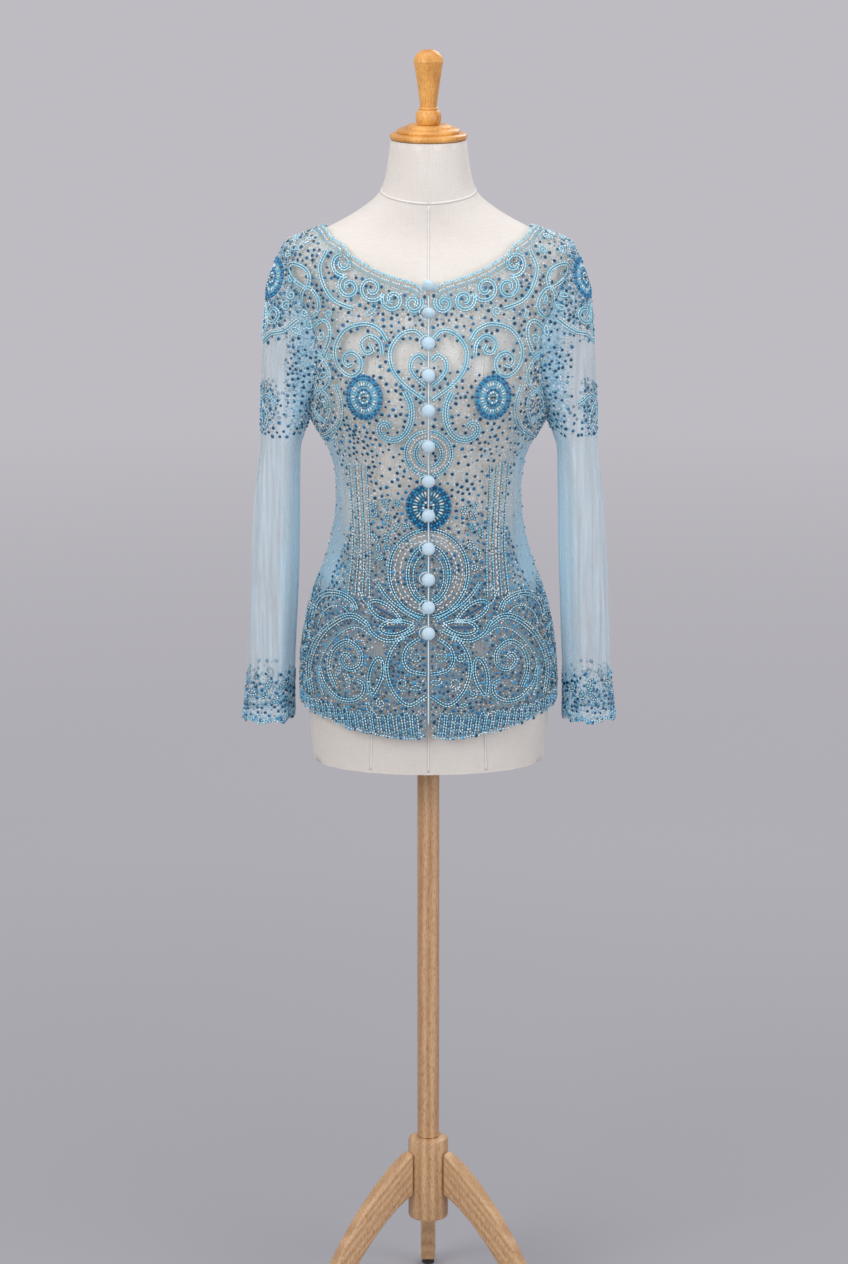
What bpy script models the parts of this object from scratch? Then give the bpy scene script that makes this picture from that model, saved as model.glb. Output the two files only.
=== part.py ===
"""Beaded kebaya blouse worn by a limbless dress form on a wooden tripod stand.

Metres, +Z up, the wearer's front towards -Y and the floor at Z = 0. The stand's pole is a little in front of the
origin, which is under the middle of the whole.
The blouse is cut as two fronts, a back and two sleeves, closed by a bound front edge and covered buttons.
Every panel is a thin wall through the sections of one body surface, so seams meet edge to edge.
"""

import math
from collections import namedtuple

import bmesh
import bpy
from mathutils import Matrix, Vector

# Driving sizes
GAP = 0.0005  # clearance between pieces at a joint
SEAM_GAP = 0.0018  # between the fronts and the back, whose walls lean towards each other at the shoulder
CLOTH = 0.0012  # wall of the beaded net
POLE_Y = -0.020
TORSO_Y = POLE_Y - 0.010
UNDERARM = 1.213
SHOULDER_TIP = 1.443
SHOULDER_NECK = 1.4627  # height of the blouse's neck edge on the shoulder seam
NECK_EDGE_X = 0.1400  # half the width of the neck opening
NECK_FRONT, NECK_BACK = 1.4050, 1.438
NECK_ROUNDNESS = 1.5  # 1 would be a straight V, more is a rounder scoop
HEM_FRONT, HEM_SIDE, HEM_BACK = 0.820, 0.848, 0.844
CUFF = 0.822

FORM_BOTTOM = 0.768
NECK_TOP = 1.575
HUB_BOTTOM, HUB_TOP = 0.129, 0.242
HUB_RADIUS = 0.0265
POLE_RADIUS = 0.0145
LEG_THICKNESS = 0.020
LEG_REACH = 0.180
FOOT_HEIGHT = 0.008
FOOT_RADIUS = 0.0085
BUTTON_RADIUS = 0.0085
BUTTON_COUNT, BUTTON_TOP, BUTTON_LOW = 12, 1.400, 0.959
BUTTON_CROWDING = 0.03  # the buttons at either end of the row sit closer together than those in the middle

# Half width, depth in front of and behind the side seam, and squareness (2 is an ellipse) at each height
Section = namedtuple("Section", "height width front back square")
BLOUSE = [
    Section(0.800, 0.1655, 0.121, 0.136, 2.1),
    Section(0.845, 0.1660, 0.120, 0.136, 2.1),
    Section(0.880, 0.1670, 0.118, 0.134, 2.1),
    Section(0.935, 0.1622, 0.114, 0.127, 2.1),
    Section(0.985, 0.1515, 0.109, 0.116, 2.1),
    Section(1.020, 0.1390, 0.104, 0.105, 2.1),
    Section(1.055, 0.1262, 0.098, 0.095, 2.1),
    Section(1.100, 0.1180, 0.093, 0.088, 2.1),
    Section(1.135, 0.1182, 0.097, 0.089, 2.1),
    Section(1.168, 0.1222, 0.106, 0.093, 2.0),
    Section(1.190, 0.1310, 0.113, 0.096, 1.9),
    Section(1.213, 0.1500, 0.118, 0.099, 1.8),
    Section(1.250, 0.1570, 0.122, 0.102, 1.9),
    Section(1.300, 0.1640, 0.115, 0.104, 2.0),
    Section(1.350, 0.1720, 0.101, 0.103, 2.1),
    Section(1.400, 0.1830, 0.083, 0.096, 2.2),
    Section(1.430, 0.1870, 0.071, 0.086, 2.2),
    Section(1.443, 0.1845, 0.065, 0.079, 2.2),
    Section(1.464, 0.1365, 0.055, 0.068, 2.2),
    Section(1.480, 0.1040, 0.052, 0.062, 2.2),
]
FORM = [
    Section(0.768, 0.1500, 0.098, 0.108, 2.1),
    Section(0.800, 0.1555, 0.103, 0.117, 2.1),
    Section(0.840, 0.1590, 0.107, 0.123, 2.1),
    Section(0.880, 0.1600, 0.107, 0.124, 2.1),
    Section(0.935, 0.1550, 0.104, 0.117, 2.1),
    Section(0.985, 0.1440, 0.100, 0.106, 2.1),
    Section(1.020, 0.1310, 0.095, 0.096, 2.1),
    Section(1.055, 0.1190, 0.090, 0.086, 2.1),
    Section(1.100, 0.1115, 0.086, 0.080, 2.1),
    Section(1.135, 0.1118, 0.090, 0.082, 2.1),
    Section(1.170, 0.1155, 0.098, 0.086, 2.1),
    Section(1.205, 0.1225, 0.106, 0.090, 2.1),
    Section(1.250, 0.1320, 0.113, 0.094, 2.2),
    Section(1.300, 0.1390, 0.107, 0.097, 2.2),
    Section(1.350, 0.1520, 0.094, 0.097, 2.2),
    Section(1.400, 0.1740, 0.077, 0.090, 2.2),
    Section(1.430, 0.1795, 0.065, 0.080, 2.2),
    Section(1.441, 0.1760, 0.059, 0.073, 2.2),
    Section(1.461, 0.1325, 0.050, 0.063, 2.2),
    Section(1.478, 0.1000, 0.047, 0.058, 2.1),
    Section(1.495, 0.0750, 0.047, 0.053, 2.0),
    Section(1.510, 0.0590, 0.048, 0.049, 2.0),
    Section(1.540, 0.0530, 0.049, 0.047, 2.0),
    Section(1.575, 0.0485, 0.0485, 0.0485, 2.0),
]
BUST_X, BUST_HEIGHT, BUST_SPREAD = 0.080, 1.243, 0.042
BUST_RISE = 0.009

# Soft flutes of the body cloth: where they lie, how wide they are and how far they stand out
Flute = namedtuple("Flute", "angle low high spread rise")
BODY_FLUTES = [
    Flute(14, 0.80, 0.93, 5, 0.0022),
    Flute(37, 0.80, 0.90, 6, 0.0016),
    Flute(68, 0.80, 0.97, 8, 0.0030),
    Flute(112, 0.80, 0.98, 8, 0.0034),
    Flute(141, 0.80, 0.92, 6, 0.0024),
    Flute(163, 0.80, 0.99, 7, 0.0032),
    Flute(96, 1.06, 1.17, 6, 0.0024),
    Flute(74, 1.13, 1.22, 7, 0.0026),
    Flute(128, 1.05, 1.18, 9, 0.0028),
]

# The hanging sleeve below the underarm: centre out from the body, half width and half depth
SleeveRing = namedtuple("SleeveRing", "height centre width depth")
SLEEVE = [
    SleeveRing(1.180, 0.1910, 0.0255, 0.0430),
    SleeveRing(1.117, 0.1955, 0.0290, 0.0410),
    SleeveRing(1.027, 0.1990, 0.0312, 0.0400),
    SleeveRing(0.935, 0.2032, 0.0315, 0.0395),
    SleeveRing(0.879, 0.2055, 0.0312, 0.0400),
    SleeveRing(0.850, 0.2070, 0.0322, 0.0430),
    SleeveRing(0.822, 0.2085, 0.0338, 0.0460),
]
# Folds down the sleeve, by angle round it (0 outside, 90 front, 180 inside)
SLEEVE_FOLDS = [
    Flute(28, 0.86, 1.36, 11, 0.0036),
    Flute(66, 0.84, 1.30, 9, -0.0042),
    Flute(98, 0.87, 1.24, 12, 0.0040),
    Flute(132, 0.84, 1.34, 10, -0.0052),
    Flute(158, 0.90, 1.28, 9, 0.0034),
    Flute(196, 0.84, 1.20, 12, -0.0030),
    Flute(232, 0.86, 1.33, 11, 0.0042),
    Flute(268, 0.84, 1.27, 10, -0.0046),
    Flute(304, 0.88, 1.31, 12, 0.0036),
    Flute(338, 0.84, 1.22, 9, -0.0028),
]
FOLD_TURN = {1: 0, -1: 17}  # the right sleeve's folds lie this many degrees further round
SHOULDER_BULGE = 0.032  # how far the sleeve head rounds out past a straight line

# Grid of each cloth panel
FRONT_COLUMNS, BACK_HALF_COLUMNS = 11, 10
LOWER_ROWS, CHEST_ROWS, NECK_ROWS = 10, 8, 5  # below the underarm, up to the neck edge, and beside it
SLEEVE_COLUMNS, CAP_ROWS, ARM_ROWS = 28, 7, 10

# Colours and finishes
NET_BLUE = (0.42, 0.66, 0.80)
BUTTON_BLUE = (0.45, 0.68, 0.86)
LINEN = (0.83, 0.78, 0.70)
HONEY_WOOD = (0.62, 0.34, 0.12)
BEECH = (0.55, 0.36, 0.20)
RUBBER = (0.02, 0.018, 0.016)


def mix(a, b, share):
    return a + (b - a) * share


def smooth_column(rows, height, column):
    """A monotone cubic through one column of a table, so that a section never overshoots its neighbours."""
    low = max(i for i in range(len(rows) - 1) if i == 0 or rows[i].height <= height)

    def slope(i):
        return (getattr(rows[i + 1], column) - getattr(rows[i], column)) / (rows[i + 1].height - rows[i].height)

    def tangent(i):
        if i in (0, len(rows) - 1):
            return slope(min(i, len(rows) - 2))
        before, after = slope(i - 1), slope(i)
        return 0.0 if before * after <= 0 else 2 * before * after / (before + after)

    start, end = rows[low], rows[low + 1]
    span = end.height - start.height
    t = (height - start.height) / span
    return (
        getattr(start, column) * (1 + 2 * t) * (1 - t) ** 2
        + tangent(low) * span * t * (1 - t) ** 2
        + getattr(end, column) * t * t * (3 - 2 * t)
        + tangent(low + 1) * span * t * t * (t - 1)
    )


def rows_direction(rows):
    """The table in rising height, as smooth_column reads it."""
    return sorted(rows, key=lambda row: row.height)


def flute_height(flutes, angle, height, turn=0.0):
    """How far the cloth stands out at this angle, in degrees, from all the flutes that reach this height."""
    total = 0.0
    for flute in flutes:
        reach = (height - flute.low) / (flute.high - flute.low)
        fade = min(max(1.15 - reach, 0.0) / 0.5, 1.0) * min(max(reach + 0.35, 0.0) / 0.5, 1.0)
        away = (angle - flute.angle - turn + 180) % 360 - 180
        total += flute.rise * fade * math.exp(-((away / flute.spread) ** 2))
    return total


def torso_point(rows, angle, height, lift=0.0):
    """A point of the body surface. Angle 0 is the centre front, 90 the side seam and 180 the centre back."""
    turn = math.radians(angle)
    power = 2 / smooth_column(rows, height, "square")
    sine, cosine = abs(math.sin(turn)), math.cos(turn)
    depth = smooth_column(rows, height, "front" if cosine > 0 else "back")
    x = smooth_column(rows, height, "width") * sine**power
    y = -math.copysign(depth * abs(cosine) ** power, cosine)
    if cosine > 0:
        off = ((x - BUST_X) ** 2 + (height - BUST_HEIGHT) ** 2) / BUST_SPREAD**2
        y -= BUST_RISE * math.exp(-off)
    out = Vector((x, y, 0)).normalized() * lift
    return Vector((x, y + TORSO_Y, height)) + out


def blouse_point(side, back, angle, height):
    """A point of the blouse's outer face on the wearer's left (side 1) or right (side -1)."""
    seam_angle = 180 - angle if back else angle
    point = torso_point(BLOUSE, seam_angle, height, flute_height(BODY_FLUTES, seam_angle, height))
    point.y += SEAM_GAP / 2 if back else -SEAM_GAP / 2
    point.x = side * (point.x + (0 if back else GAP / 2))
    return point


def hem_height(angle, back):
    centre = HEM_BACK if back else HEM_FRONT
    return mix(HEM_SIDE, centre, math.cos(math.radians(angle)) ** 2)


def neck_edge(share, back):
    """Angle and height of the neck edge, from the centre (0) to the shoulder seam (1)."""
    angle = 90 * share
    height = low = NECK_BACK if back else NECK_FRONT
    for _ in range(12):
        across = min(torso_point(BLOUSE, angle, height).x / NECK_EDGE_X, 1.0)
        height = mix(low, SHOULDER_NECK, across**NECK_ROUNDNESS)
    return angle, height


def armhole(share, back):
    """Angle and height of the armhole edge, from the underarm (0) to the shoulder tip (1)."""
    scoop = 27 if back else 33
    return 90 - scoop * math.sin(math.pi * share) ** 0.8, mix(UNDERARM, SHOULDER_TIP, share)


def panel_row(row, back):
    """The two ends of a row of a body panel, each as an angle and a height: centre or neck edge, then side."""
    if row < LOWER_ROWS:
        share = row / LOWER_ROWS
        return (
            (0.0, mix(hem_height(0, back), UNDERARM, share)),
            (90.0, mix(HEM_SIDE, UNDERARM, share)),
        )
    row -= LOWER_ROWS
    if row <= CHEST_ROWS:
        inner = (0.0, mix(UNDERARM, NECK_BACK if back else NECK_FRONT, row / CHEST_ROWS))
    else:
        inner = neck_edge((row - CHEST_ROWS) / NECK_ROWS, back)
    return inner, armhole(row / (CHEST_ROWS + NECK_ROWS), back)


def half_panel(side, back, columns):
    """Rows of points over one half of the body, from the centre (first column) to the side seam or armhole."""
    rows = []
    for row in range(LOWER_ROWS + CHEST_ROWS + NECK_ROWS + 1):
        inner, outer = panel_row(row, back)
        points = []
        for column in range(columns + 1):
            share = column / columns
            angle, height = (mix(a, b, share) for a, b in zip(inner, outer))
            if row < LOWER_ROWS:
                height = mix(hem_height(angle, back), UNDERARM, row / LOWER_ROWS)
            points.append(blouse_point(side, back, angle, height))
        rows.append(points)
    return rows


def sleeve_point(side, angle, along):
    """A point of the sleeve. Angle 0 is its outer side, 90 its front; along is 0 at the armhole, 1 at the underarm
    level and 2 at the cuff."""
    turn = math.radians(angle)
    rows = rows_direction(SLEEVE)
    height = mix(SLEEVE[0].height, CUFF, max(along - 1, 0))
    width, depth = smooth_column(rows, height, "width"), smooth_column(rows, height, "depth")
    centre = Vector((smooth_column(rows, height, "centre"), TORSO_Y, height))
    ring = Vector((width * math.cos(turn), -depth * math.sin(turn), 0))
    point = centre + ring
    if along < 1:
        back = angle > 180
        edge = armhole(1 - (360 - angle if back else angle) / 180, back)
        seam = blouse_point(1, back, *edge) + Vector((2 * GAP, 0, 0))
        bulge = SHOULDER_BULGE * along**0.38 * (1 - along) ** 1.1 * (0.5 + 0.5 * math.cos(turn)) ** 1.5
        point = seam.lerp(point, along) + Vector((bulge, 0, 0.25 * bulge))
    fade = min(along / 0.6, 1.0)
    point += ring.normalized() * flute_height(SLEEVE_FOLDS, angle, point.z, FOLD_TURN[side]) * fade
    point.x *= side
    return point


def sleeve_rings(side):
    """Rings of points down the sleeve, from the armhole to the cuff."""
    steps = [i / CAP_ROWS for i in range(CAP_ROWS)] + [1 + i / ARM_ROWS for i in range(ARM_ROWS + 1)]
    return [
        [sleeve_point(side, 360 * column / SLEEVE_COLUMNS, along) for column in range(SLEEVE_COLUMNS)]
        for along in steps
    ]


def material(name, colour, roughness):
    made = bpy.data.materials.new(name)
    made.use_nodes = True
    shader = made.node_tree.nodes["Principled BSDF"]
    shader.inputs["Base Color"].default_value = (*colour, 1)
    shader.inputs["Roughness"].default_value = roughness
    return made


def add_object(name, shape, finish, smooth=True):
    """Puts a bmesh in the scene as a named object with its material."""
    bmesh.ops.recalc_face_normals(shape, faces=shape.faces)
    mesh = bpy.data.meshes.new(name)
    shape.to_mesh(mesh)
    shape.free()
    mesh.materials.append(finish)
    if smooth:
        mesh.shade_smooth()
        mesh.set_sharp_from_angle(angle=math.radians(40))
    made = bpy.data.objects.new(name, mesh)
    bpy.context.scene.collection.objects.link(made)
    return made


def skin(grids, wrap=False):
    """A bmesh of quads through grids of points, joined where they touch. With wrap, each row is a closed ring."""
    shape = bmesh.new()
    for rows in grids:
        verts = [[shape.verts.new(point) for point in row] for row in rows]
        count = len(verts[0])
        for lower, upper in zip(verts, verts[1:]):
            for i in range(count if wrap else count - 1):
                j = (i + 1) % count
                shape.faces.new((lower[i], lower[j], upper[j], upper[i]))
    if len(grids) > 1:
        bmesh.ops.remove_doubles(shape, verts=shape.verts, dist=1e-6)
    return shape


def cloth_panel(name, grids, finish, facing, wrap=False):
    """A cloth wall whose outer face runs through the grids. Facing is a point on the wearer's side of it."""
    shape = skin(grids, wrap)
    bmesh.ops.recalc_face_normals(shape, faces=shape.faces)
    shape.faces.ensure_lookup_table()
    probe = shape.faces[len(shape.faces) // 2]
    probe.normal_update()
    if probe.normal.dot(probe.calc_center_median() - facing) < 0:
        bmesh.ops.reverse_faces(shape, faces=shape.faces)
    mesh = bpy.data.meshes.new(name)
    shape.to_mesh(mesh)
    shape.free()
    mesh.materials.append(finish)
    mesh.shade_smooth()
    panel = bpy.data.objects.new(name, mesh)
    bpy.context.scene.collection.objects.link(panel)
    wall = panel.modifiers.new("cloth_wall", "SOLIDIFY")
    wall.thickness = CLOTH
    wall.offset = -1
    wall.use_even_offset = True
    return panel


def closed_loft(name, rings, finish):
    """A solid through closed rings, capped flat at both ends."""
    shape = skin([rings], wrap=True)
    shape.verts.ensure_lookup_table()
    count = len(rings[0])
    shape.faces.new(shape.verts[:count])
    shape.faces.new(shape.verts[-count:])
    return add_object(name, shape, finish)


def turned(name, profile, finish, steps=28, place=Matrix()):
    """A solid of revolution about Z. The profile runs in radius and height, from axis to axis."""
    shape = bmesh.new()
    verts = [shape.verts.new((radius, 0, height)) for radius, height in profile]
    edges = [shape.edges.new(pair) for pair in zip(verts, verts[1:])]
    bmesh.ops.spin(
        shape, geom=verts + edges, axis=(0, 0, 1), cent=(0, 0, 0), steps=steps, angle=2 * math.pi, use_merge=True
    )
    bmesh.ops.remove_doubles(shape, verts=shape.verts, dist=1e-6)
    bmesh.ops.transform(shape, matrix=place, verts=shape.verts)
    return add_object(name, shape, finish)


def arc(centre, radius, start, end, steps):
    """Points of a circular arc in radius and height; angles in degrees from the outward direction, upwards."""
    angles = [math.radians(mix(start, end, i / steps)) for i in range(steps + 1)]
    return [(centre[0] + radius * math.cos(a), centre[1] + radius * math.sin(a)) for a in angles]


def build_blouse(net, button_cloth):
    inside = Vector((0, TORSO_Y, 1.1))
    for side, word in ((1, "left"), (-1, "right")):
        cloth_panel(f"front_{word}", [half_panel(side, False, FRONT_COLUMNS)], net, inside)
        rings = sleeve_rings(side)
        middle = rings[CAP_ROWS]
        cloth_panel(f"sleeve_{word}", [rings], net, sum(middle, Vector()) / len(middle), wrap=True)
    cloth_panel("back", [half_panel(side, True, BACK_HALF_COLUMNS) for side in (1, -1)], net, inside)
    build_closure(net, button_cloth)


def front_edge_heights():
    """The heights at which the rows of a front meet its centre edge, from the hem to the neck."""
    return [panel_row(row, False)[0][1] for row in range(LOWER_ROWS + CHEST_ROWS + 1)]


def centre_front(height):
    """The point of the closed front edge at this height, and the way that the cloth faces there."""
    heights = front_edge_heights()
    row = max(i for i in range(len(heights) - 1) if heights[i] <= height)
    below, above = (blouse_point(1, False, 0, heights[i]) for i in (row, row + 1))
    point = below.lerp(above, (height - heights[row]) / (heights[row + 1] - heights[row]))
    return Vector((0, point.y, height)), Vector((1, 0, 0)).cross(above - below).normalized()


def build_closure(net, button_cloth):
    """The bound edge over the front opening, with the covered buttons sewn down it."""
    half_width, lift = 0.0017, 0.0010
    rows = []
    for height in front_edge_heights():
        point, facing = centre_front(height)
        face = point + facing * (GAP + lift)
        rows.append([face + Vector((x, 0, 0)) for x in (-half_width, half_width)])
    cloth_panel("front_binding", [rows], net, Vector((0, TORSO_Y, 1.1))).modifiers["cloth_wall"].thickness = lift
    for i in range(BUTTON_COUNT):
        down = i / (BUTTON_COUNT - 1)
        down -= BUTTON_CROWDING * math.sin(2 * math.pi * down)
        point, facing = centre_front(mix(BUTTON_TOP, BUTTON_LOW, down))
        seat = point + facing * (2 * GAP + lift + 0.0003)
        place = Matrix.Translation(seat) @ facing.to_track_quat("Z", "Y").to_matrix().to_4x4()
        dome = [(0, 0), (0.4 * BUTTON_RADIUS, 0), (BUTTON_RADIUS, 0.0022), (0.72 * BUTTON_RADIUS, 0.0056), (0, 0.0074)]
        turned(f"button_{i + 1:02d}", dome, button_cloth, steps=10, place=place)


def build_form(linen, honey):
    heights = [0.768, 0.805, 0.850, 0.900, 0.945, 0.985, 1.020, 1.055, 1.095, 1.135, 1.175, 1.215, 1.250, 1.285]
    heights += [1.325, 1.365, 1.400, 1.426, 1.441, 1.450, 1.461, 1.478, 1.495, 1.510, 1.540, NECK_TOP]
    rings = []
    for height in heights:
        half = [torso_point(FORM, angle, height) for angle in range(0, 181, 15)]
        other = [Vector((-p.x, p.y, p.z)) for p in half[-2:0:-1]]
        rings.append(half + other)
    closed_loft("form_torso", rings, linen)
    place = Matrix.Translation((0, TORSO_Y, NECK_TOP + GAP))
    rim, collar = arc((0.0452, 0.0040), 0.0040, -90, 90, 4), arc((0.0350, 0.0110), 0.0030, -90, 90, 3)
    boss = arc((0.0220, 0.0160), 0.0025, -60, 90, 2)
    turned("neck_cap", [(0, 0)] + rim + collar + boss + [(0, 0.0185)], honey, steps=26, place=place)
    knob = arc((0.0055, 0.0100), 0.0110, -65, 62, 6)
    handle = [(0.0105, 0.0215), (0.0112, 0.0240), (0.0130, 0.0420), (0.0186, 0.0790)]
    crown = [(0.0190, 0.0830), (0.0160, 0.0880), (0.0105, 0.0920), (0.0050, 0.0940), (0, 0.0946)]
    seat = Matrix.Translation((0, TORSO_Y, NECK_TOP + 2 * GAP + 0.0185))
    turned("neck_finial", [(0, 0)] + knob + handle + crown, honey, steps=20, place=seat)


def leg_outline():
    """The side of a leg in radius and height: an outer and an inner bow from the hub down to the foot."""
    root, bottom, curve, steps = HUB_RADIUS + GAP, FOOT_HEIGHT + GAP, 1.3, 9

    def bow(reach, top):
        points = []
        for i in range(steps + 1):
            angle = math.pi / 2 * i / steps
            across, up = math.sin(angle) ** (2 / curve), math.cos(angle) ** (2 / curve)
            points.append((mix(root, reach, across), mix(bottom, top, up)))
        return points

    return bow(LEG_REACH, 0.225) + bow(LEG_REACH - 0.031, 0.165)[::-1]


def build_stand(beech, rubber):
    hub = [(0, HUB_BOTTOM), (HUB_RADIUS - 0.002, HUB_BOTTOM), (HUB_RADIUS, HUB_BOTTOM + 0.002)]
    hub += [(HUB_RADIUS, HUB_TOP - 0.002), (HUB_RADIUS - 0.002, HUB_TOP), (0, HUB_TOP)]
    pole = Matrix.Translation((0, POLE_Y, 0))
    turned("stand_hub", hub, beech, steps=28, place=pole)
    low, high = HUB_TOP + GAP, FORM_BOTTOM - GAP
    shaft = [(0, low), (POLE_RADIUS, low), (POLE_RADIUS, high), (0, high)]
    turned("stand_pole", shaft, beech, steps=20, place=pole)
    for name, heading in (("back", 90), ("left", -30), ("right", 210)):
        turn = pole @ Matrix.Rotation(math.radians(heading), 4, "Z")
        shape = bmesh.new()
        face = shape.faces.new([shape.verts.new((r, -LEG_THICKNESS / 2, z)) for r, z in leg_outline()])
        grown = bmesh.ops.extrude_face_region(shape, geom=[face])["geom"]
        ends = [v for v in grown if isinstance(v, bmesh.types.BMVert)]
        bmesh.ops.translate(shape, vec=(0, LEG_THICKNESS, 0), verts=ends)
        bmesh.ops.recalc_face_normals(shape, faces=shape.faces)
        bmesh.ops.transform(shape, matrix=turn, verts=shape.verts)
        leg = add_object(f"stand_leg_{name}", shape, beech, smooth=False)
        chamfer = leg.modifiers.new("chamfer", "BEVEL")
        chamfer.width = 0.003
        chamfer.limit_method = "ANGLE"
        chamfer.angle_limit = math.radians(60)
        chamfer.use_clamp_overlap = True
        foot_place = turn @ Matrix.Translation((LEG_REACH - 0.0155, 0, 0))
        foot = [(0, 0), (FOOT_RADIUS - 0.001, 0), (FOOT_RADIUS, 0.001), (FOOT_RADIUS, FOOT_HEIGHT), (0, FOOT_HEIGHT)]
        turned(f"stand_foot_{name}", foot, rubber, steps=16, place=foot_place)


def main():
    for leftover in list(bpy.data.objects):
        bpy.data.objects.remove(leftover)
    build_blouse(material("beaded_net", NET_BLUE, 0.7), material("button_cloth", BUTTON_BLUE, 0.6))
    build_form(material("linen", LINEN, 0.85), material("honey_wood", HONEY_WOOD, 0.35))
    build_stand(material("beech", BEECH, 0.5), material("rubber", RUBBER, 0.8))


main()
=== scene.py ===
"""Finishes a beaded kebaya blouse, the linen dress form that wears it and the form's wooden stand.

Metres, +Z up, the wearer's front towards -Y, and +X is the wearer's left. The cloth panels come from the
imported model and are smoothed, creased and thinned. Cords and beads are then laid over them, from drawings
in an upright plane that faces one side of the wearer, and from rules that fill the ground between.
"""

import math
import random
from collections import namedtuple
from itertools import product

import bmesh
import bpy
import numpy as np
from mathutils import Matrix, Vector, noise
from mathutils.bvhtree import BVHTree
from mathutils.kdtree import KDTree


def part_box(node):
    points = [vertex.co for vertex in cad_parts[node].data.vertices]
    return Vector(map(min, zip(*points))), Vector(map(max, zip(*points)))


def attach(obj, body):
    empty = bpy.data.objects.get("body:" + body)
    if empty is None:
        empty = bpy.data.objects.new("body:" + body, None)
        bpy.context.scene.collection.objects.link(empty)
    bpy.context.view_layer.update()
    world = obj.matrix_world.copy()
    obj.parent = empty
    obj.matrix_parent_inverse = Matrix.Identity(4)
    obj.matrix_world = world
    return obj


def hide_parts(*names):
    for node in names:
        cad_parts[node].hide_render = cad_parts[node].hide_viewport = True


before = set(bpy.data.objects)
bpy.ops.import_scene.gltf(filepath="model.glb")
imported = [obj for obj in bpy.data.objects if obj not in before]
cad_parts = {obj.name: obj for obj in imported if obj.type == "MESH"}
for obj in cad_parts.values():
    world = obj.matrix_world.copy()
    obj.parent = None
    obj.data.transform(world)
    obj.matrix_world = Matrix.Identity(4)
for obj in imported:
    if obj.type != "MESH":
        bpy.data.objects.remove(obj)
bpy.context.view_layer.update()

BODY_AXIS = Vector((0, -0.030, 0))  # upright line through the middle of the torso
WAIST = 1.115  # height of the waist, below which the ground is closer and darker
# The unbeaded strip down each side: its middle height, and where it starts
PLAIN_MIDDLE, PLAIN_OUT = 1.10, 0.092
NET_WALL = 0.00045
CORD_HALF, CORD_RISE = 0.00088, 0.00070  # half width and half height of one soutache strand
CORD_SIDES, PAINTED_SHADOW_SIDES = 5, 3
STRAND_GAP = 0.0031  # between the middles of neighbouring strands
CORD_STEP = 0.0030
PAINTED_SHADOW_HALF, PAINTED_SHADOW_RISE = 0.00150, 0.00022  # half width and half height of the dark strip under each strand: its painted shadow on the net
SEED = 0.00120  # radius of a seed bead
GEM = 0.0026  # radius of a navy bead with its setting

FRONT, BACK = 0, 180  # the side that a drawing faces, in degrees round the body from straight ahead

# Bead finishes, by their place on the colour ramp of the glass
NAVY, SETTING, DEEP, BRIGHT, SKY, PALE, SILVER, CHAMPAGNE = ((i + 0.5) / 8 for i in range(8))
BEAD_COLOURS = {
    NAVY: (0.005, 0.024, 0.070),
    SETTING: (0.080, 0.350, 0.540),
    DEEP: (0.008, 0.120, 0.300),
    BRIGHT: (0.020, 0.330, 0.640),
    SKY: (0.190, 0.600, 0.830),
    PALE: (0.520, 0.820, 0.930),
    SILVER: (0.930, 0.960, 0.980),
    CHAMPAGNE: (0.540, 0.450, 0.310),
}


# ---------------------------------------------------------------- finishes


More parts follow.
